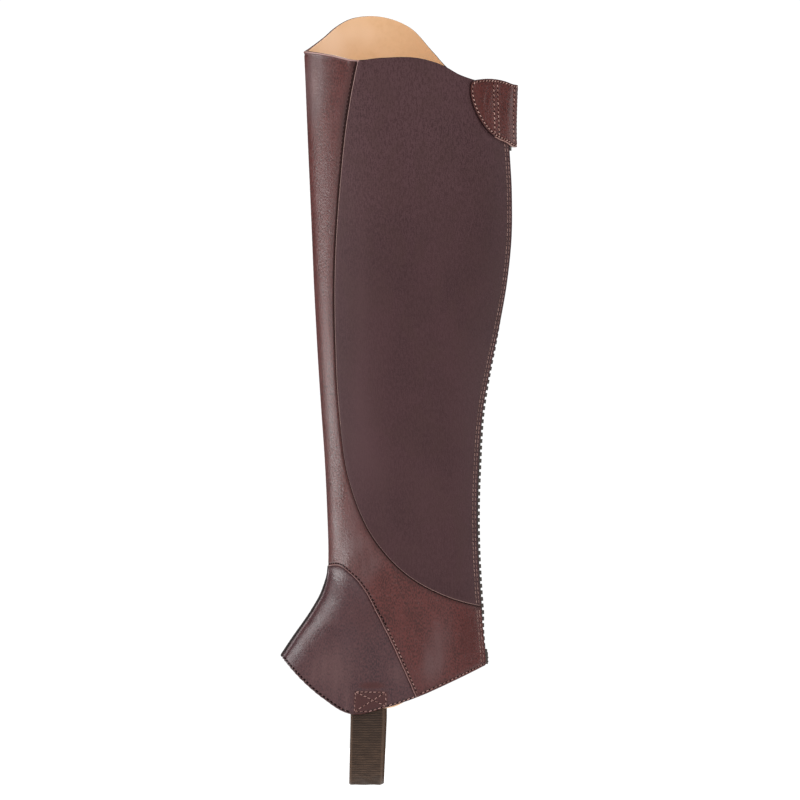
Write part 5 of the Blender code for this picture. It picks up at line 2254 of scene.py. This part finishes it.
@dataclass
class SnapTab:
    """The tab that is sewn to the inner side, wraps round the back and snaps shut on the outer side."""

    wall: Wall
    finishes: Finishes
    thickness: float = 1.4
    bend_half: float = 6.0
    back: Sequence[float] = (44.0, 87.2)
    back_rise: Sequence[float] = (0.5, 0.9)
    inner_end: Rows = (
        (44.6, 90.4), (42.2, 87.6), (41.7, 83.0), (43.1, 74.6), (46.6, 65.7), (51.5, 57.8),
        (58.0, 51.5), (59.3, 50.6),
    )
    inner_top: Rows = ((65.2, 90.2), (50.5, 91.3))
    inner_below: Rows = ((67.7, 46.6), (60.7, 49.8))
    outer_top: Rows = ((20, 85.4), (34, 81.4))
    outer_below: Rows = ((20, 46.4), (34, 51.2))
    outer_end: Rows = ((42, 76.6), (45.5, 66.3), (42, 56.0))
    row: float = 1.5
    held_rows: Sequence[Rows] = (((57.4, 88.0), (58.2, 52.6)), ((60.0, 88.0), (61.3, 51.4)))
    bend_row: Rows = ((-4.6, 85.2), (-4.6, 47.0))
    snap_way: float = 35.0
    snap_level: float = 66.3
    snap_radius: float = 6.2
    snap_thick: float = 2.2
    snap_sides: int = 48
    snap_profile: Rows = (
        (1.0, 0.0), (1.03, 0.25), (1.0, 0.55), (0.94, 0.78), (0.86, 0.86),
        (0.80, 0.80), (0.74, 0.84), (0.55, 0.94), (0.3, 1.0), (0.08, 1.02),
    )
    creases: Sequence[Crease] = (
        *soft_marks(Side.INNER, (
            (50.0, 74, -4, 14, 4.2, 0.35), (57.6, 72, -3, 18, 1.6, -0.16), (60.6, 70, -3, 22, 1.8, -0.16),
            (66.4, 68, -1, 24, 3.0, 0.35), (71.4, 68, -1, 26, 1.7, -0.5), (49.0, 72, -6, 12, 2.2, 0.4),
            (52.8, 80, 12, 9, 1.6, -0.25),
        )),
        *soft_marks(Side.OUTER, (
            (60.0, 66, 0, 16, 4.0, 0.3),
        )),
    )

    def build(self) -> None:
        """Makes the tab, its stitches and its snap cap."""
        surface = TabSurface(self.wall)
        sheet = self._sheet(surface)
        sheet.build(self.finishes.tab, "smooth_leather", ["snap_tab"], ["inner_calf_leather"])
        self._sew(surface, sheet)
        self._cap(surface)

    def _sheet(self, surface: TabSurface) -> Sheet:
        """The tab's cut.

        Args:
            surface: What it lies on.

        Returns:
            The cut.
        """
        end, top, below = map(surface.on_tab, (self.inner_end, self.inner_top, self.inner_below))
        low, high = self.back
        low_rise, high_rise = self.back_rise
        bend = self.bend_half
        above = [end[0], *top[::-1], (-bend, high + high_rise), (bend, high), *self.outer_top]
        beneath = [*self.outer_below[::-1], (bend, low), (-bend, low + low_rise), *below, end[-1]]
        edges = {
            "above": smooth_line([*above, self.outer_end[0]]),
            "outer_end": smooth_line(self.outer_end, 120),
            "below": smooth_line([self.outer_end[-1], *beneath]),
            "inner_end": smooth_line(end[::-1], 120),
        }
        # The dark edge is partly a painted shadow along the tab's outline.
        cut = EdgeStyle(fall=1.0, fall_way=0.7, shade_and_dark_edge=0.3, sewn=(self.row,))
        # The pale lower edge is partly a painted highlight.
        pale = EdgeStyle(fall=0.9, fall_way=0.6, sewn=(self.row,), wear_and_highlight=0.22)
        styles = {"above": cut, "outer_end": cut, "below": pale, "inner_end": cut}
        looks = {"creases": self.creases, "spacing": 1.6, "station": 1.1}
        return Sheet("snap_tab_leather", surface, edges, styles, self.thickness, self.thickness, **looks)

    def _sew(self, surface: TabSurface, sheet: Sheet) -> None:
        """Sews round the tab, and down it where it is held to the inner side.

        Args:
            surface: What it lies on.
            sheet: Its cut.
        """
        work = Needlework("tab_stitching", 71)
        loop = np.vstack([line[:-1] for line in sheet.edges.values()])
        loop = even(np.vstack((loop, loop[:1])), 0.6)
        lines = [aside(loop, self.row * turn_of(loop))]
        for top, foot in self.held_rows:
            lines.append(np.array(surface.on_tab(np.linspace(top, foot, 30))))
        lines.append(np.linspace(*self.bend_row, 30))
        for line in lines:
            work.row(surface, line, TAB_ROW, sheet.relief)
        work.build(self.finishes.pale_thread, self.finishes.hole)

    def _cap(self, surface: TabSurface) -> None:
        """The snap's dished round cap on the tab's outer end.

        Args:
            surface: What the tab lies on.
        """
        place = np.array([(self.snap_way, self.snap_level)])
        foot, out = surface.at(place)[0], surface.normals(place)[0]
        across = unit(surface.at(place + (3, 0)) - foot)[0]
        upward = np.cross(out, across)
        seat = foot + out * (self.thickness + 0.12)
        sides, rings = self.snap_sides, []
        turns = np.linspace(0, 2 * math.pi, sides, endpoint=False)
        spokes = np.cos(turns)[:, None] * across + np.sin(turns)[:, None] * upward
        for wide, high in self.snap_profile:
            rings.append(seat + spokes * self.snap_radius * wide + out * self.snap_thick * high)
        faces = ring_faces(len(rings), sides)
        last = (len(rings) - 1) * sides
        faces += [tuple(range(sides)), tuple(last + k for k in range(sides))[::-1]]
        mesh = mesh_of("snap_button", np.vstack(rings), faces)
        work = bmesh.new()
        work.from_mesh(mesh)
        bmesh.ops.recalc_face_normals(work, faces=work.faces[:])
        work.to_mesh(mesh)
        work.free()
        new_piece(mesh, [self.finishes.metal], "dark_metal", "snap_cap")


# ---- The elastic under the foot ----


@dataclass
class StrapSurface(Surface):
    """The strap's outer face: its way from the middle under the foot, and how far forward across it."""

    wall: Wall
    step: float = 0.3
    front: float = -41.6
    back: float = -17.6
    foot_front: float = -42.6
    foot_back: float = -19.6
    top: float = -336.5
    bottom: float = -401.8
    corner: float = 20.0
    half_foot: float = 34.0
    leaves: float = -356.0
    depth: float = 3.5
    far_shift: float = 1.4

    def half_length(self) -> float:
        """Half the strap's length, from its sewn end to the middle under the foot."""
        straight = self.top - (self.bottom + self.corner)
        return straight + self.corner * math.pi / 2 + self.half_foot - self.corner

    def at(self, places: Points) -> Points:
        """The strap's points.

        Args:
            places: Their way from the middle and how far forward from the strap's back edge they are.

        Returns:
            The points, in millimetres.
        """
        way, forward = np.asarray(places, float).T
        share = 1 - forward / (self.back - self.front)
        top_x = self.front + share * (self.back - self.front)
        foot_x = self.foot_front + share * (self.foot_back - self.foot_front)
        straight = self.top - (self.bottom + self.corner)
        arc = self.corner * math.pi / 2
        s = self.half_length() - np.abs(way)
        level = np.where(s < straight, self.top - s, self.bottom)
        turn = np.clip((s - straight) / self.corner, 0, math.pi / 2)
        rounding = (s >= straight) & (s < straight + arc)
        level = np.where(rounding, self.bottom + self.corner * (1 - np.sin(turn)), level)
        held = np.maximum(level, self.leaves)
        sewn = self.wall.place(self.wall.on_wall(zip(top_x, held)), -self.depth)[:, 1]
        leaving = self.wall.place(self.wall.on_wall((x, self.leaves) for x in top_x), -self.depth)[:, 1]
        free = np.clip((self.leaves - level) / (self.leaves - self.bottom - self.corner), 0, 1)
        y = sewn + (self.half_foot - leaving) * free * free * (3 - 2 * free)
        y = np.where(rounding, self.half_foot - self.corner * (1 - np.cos(turn)), y)
        y = np.where(s >= straight + arc, self.half_foot - self.corner - (s - straight - arc), y)
        drop = np.clip((self.leaves - level) / (self.leaves - self.bottom), 0, 1)
        x = top_x + (foot_x - top_x) * drop
        x = x + self.far_shift * rise(way, -10.0, 10.0)
        return np.column_stack((x, np.sign(way + 1e-9) * y, level))


@dataclass
class FootStrap:
    """The ribbed elastic under the foot, sewn inside both vamps."""

    wall: Wall
    finishes: Finishes
    width: float = 24.0
    thickness: float = 1.2
    rib: float = 1.72
    rows_per_rib: int = 6
    columns: int = 40

    def build(self) -> None:
        """Makes the strap."""
        surface = StrapSurface(self.wall)
        half = surface.half_length()
        ways = np.arange(-half, half, self.rib / self.rows_per_rib)
        across = np.linspace(0, self.width, self.columns)
        places = np.array([(s, v) for s in ways for v in across])
        edge = np.minimum(places[:, 1], self.width - places[:, 1])
        wobble = 0.35 * np.sin(places[:, 1] * 0.9 + places[:, 0] * 0.21) + 0.25 * np.sin(places[:, 1] * 2.3)
        ribs = 0.5 - 0.5 * np.cos(2 * math.pi * places[:, 0] / self.rib + wobble)
        strength = 0.75 + 0.25 * np.sin(places[:, 0] * 0.37 + places[:, 1] * 0.5)
        relief = 0.42 * ribs * strength * rise(edge, 0.7, 1.8)
        relief += 0.22 * np.exp(-(((edge - 1.0) / 0.45) ** 2)) - 0.5 * (1 - rise(edge, 0.0, 0.7))
        outer = surface.place(places, relief)
        inner = surface.place(places, -self.thickness - 0.5 * relief)
        faces = grid_faces(len(ways), len(across))
        cloth = np.column_stack((places[:, 1], places[:, 0], np.zeros(len(places)))) * MM
        # A pale line on the raised edge, partly a painted highlight.
        wear_and_highlight = np.exp(-(((edge - 1.1) / 0.5) ** 2))
        # Painted shade in the ribs' grooves, and painted shadow where the strap runs up under the chap.
        held = rise(np.abs(places[:, 0]), surface.half_foot, half - 14)
        shade = np.clip(0.62 * (1 - ribs) * rise(edge, 0.7, 1.8) + 0.34 * held, 0, 1)
        facts = {"cloth": cloth, "wear_and_highlight": wear_and_highlight * 0.5, "shade": shade}
        facts = {key: np.concatenate((values, values)) for key, values in facts.items()}
        points = np.vstack((outer, inner))
        mesh = mesh_of("foot_elastic", points, closed_shell(faces, len(places)), facts)
        made = new_piece(mesh, [self.finishes.elastic], "elastic", "foot_strap")
        size = (self.width * MM, 2 * half * MM)


# ---- The studio ----


@dataclass(frozen=True)
class Softbox:
    """One soft light: where it stands, its size and its strength."""

    name: str
    place: Sequence[float]
    size: Sequence[float]
    power: float
    aim: Sequence[float] = (0.0, 0.0, -0.13)

    def build(self) -> None:
        """Makes the light."""
        data = bpy.data.lights.new(self.name, "AREA")
        data.shape = "RECTANGLE"
        data.size, data.size_y = self.size
        data.energy = self.power
        made = bpy.data.objects.new(self.name, data)
        bpy.context.scene.collection.objects.link(made)
        made.location = self.place
        made.rotation_euler = (Vector(self.aim) - Vector(self.place)).to_track_quat("-Z", "Y").to_euler()
        made.visible_camera = False


@dataclass
class Studio:
    """A plain pale floor, soft lights and the camera."""

    floor_level: float = -0.4045
    floor_half: float = 1.6
    distance: float = 14.0
    lens: float = 900.0
    aim: Sequence[float] = (-0.007, 0.0, -0.133)
    front_light: float = 1.2
    back_light: float = 0.09
    behind: float = 1.05
    floor_colour: Colour = (0.35, 0.35, 0.35)
    floor_glow: float = 0.95
    boxes: Sequence[Softbox] = (
        Softbox("shin_softbox", (-1.47, 0.32, 0.05), (0.74, 2.4), 8.2),
        Softbox("side_softbox", (-1.38, -0.60, -0.74), (0.56, 1.2), 4.8),
        Softbox("ankle_softbox", (-1.45, 0.34, -0.70), (0.70, 1.16), 23.5),
        Softbox("vamp_softbox", (-1.42, 0.20, 0.64), (0.44, 0.7), 5.9),
        Softbox("tab_softbox", (1.32, 0.71, 0.12), (0.44, 0.5), 1.5),
        Softbox("far_softbox", (0.5, 1.9, 2.0), (1.6, 1.6), 36.0),
        Softbox("top_softbox", (1.0, -0.9, 1.9), (1.2, 1.2), 10.5),
    )

    def build(self) -> None:
        """Makes the floor, the world, the lights and the camera."""
        self._floor()
        self._world()
        self._camera()
        for box in self.boxes:
            box.build()

    def _camera(self) -> None:
        """The camera, square on to the inner side."""
        data = bpy.data.cameras.new("side_camera")
        data.lens = self.lens
        data.sensor_width = 36.0
        data.clip_end = 100.0
        camera = bpy.data.objects.new("side_camera", data)
        bpy.context.scene.collection.objects.link(camera)
        camera.location = Vector(self.aim) + Vector((0, -self.distance, 0))
        camera.rotation_euler = (math.pi / 2, 0, 0)
        bpy.context.scene.camera = camera
        bpy.context.scene.view_settings.view_transform = "Standard"

    def _floor(self) -> None:
        """The pale floor."""
        mesh = bpy.data.meshes.new("pale_floor")
        half = self.floor_half
        corners = (-half, -half), (half, -half), (half, half), (-half, half)
        mesh.from_pydata([(x, y, self.floor_level) for x, y in corners], [], [(0, 1, 2, 3)])
        made = bpy.data.objects.new("pale_floor", mesh)
        bpy.context.scene.collection.objects.link(made)
        material = Shader("pale_floor").set(
            Base_Color=rgba(self.floor_colour),
            Roughness=0.9,
            Specular_IOR_Level=0.0,
            Emission_Color=rgba(WHITE),
            Emission_Strength=self.floor_glow,
        )
        mesh.materials.append(material)

    def _world(self) -> None:
        """A white surround to look at, which lights the chap softly from the front."""
        world = bpy.data.worlds.new("white_surround")
        bpy.context.scene.world = world
        world.use_nodes = True
        nodes = Nodes(world.node_tree)
        way = nodes.node("ShaderNodeTexCoord", output="Generated")
        strength = way.part("Y").step(0.55, -0.75) * (self.front_light - self.back_light) + self.back_light
        seen = nodes.node("ShaderNodeLightPath", output="Is Camera Ray")
        light = nodes.node("ShaderNodeBackground", None, {"Color": rgba(WHITE), "Strength": strength})
        white = nodes.node("ShaderNodeBackground", None, {"Color": rgba(WHITE), "Strength": self.behind})
        mixed = nodes.node("ShaderNodeMixShader", None, {0: seen, 1: light, 2: white})
        nodes.node("ShaderNodeOutputWorld", None, {"Surface": mixed})


def main() -> None:
    """Builds the chap and its studio."""
    wall = Wall()
    pattern = Pattern(wall)
    finishes = Finishes()
    upper = Upper(pattern, finishes)
    upper.build()
    upper.sew()
    Lining(pattern).build(finishes.lining)
    Piping(pattern).build(finishes.piping)
    Zip(wall, finishes).build()
    SnapTab(wall, finishes).build()
    FootStrap(wall, finishes).build()
    Studio().build()


if __name__ == "__main__":
    main()
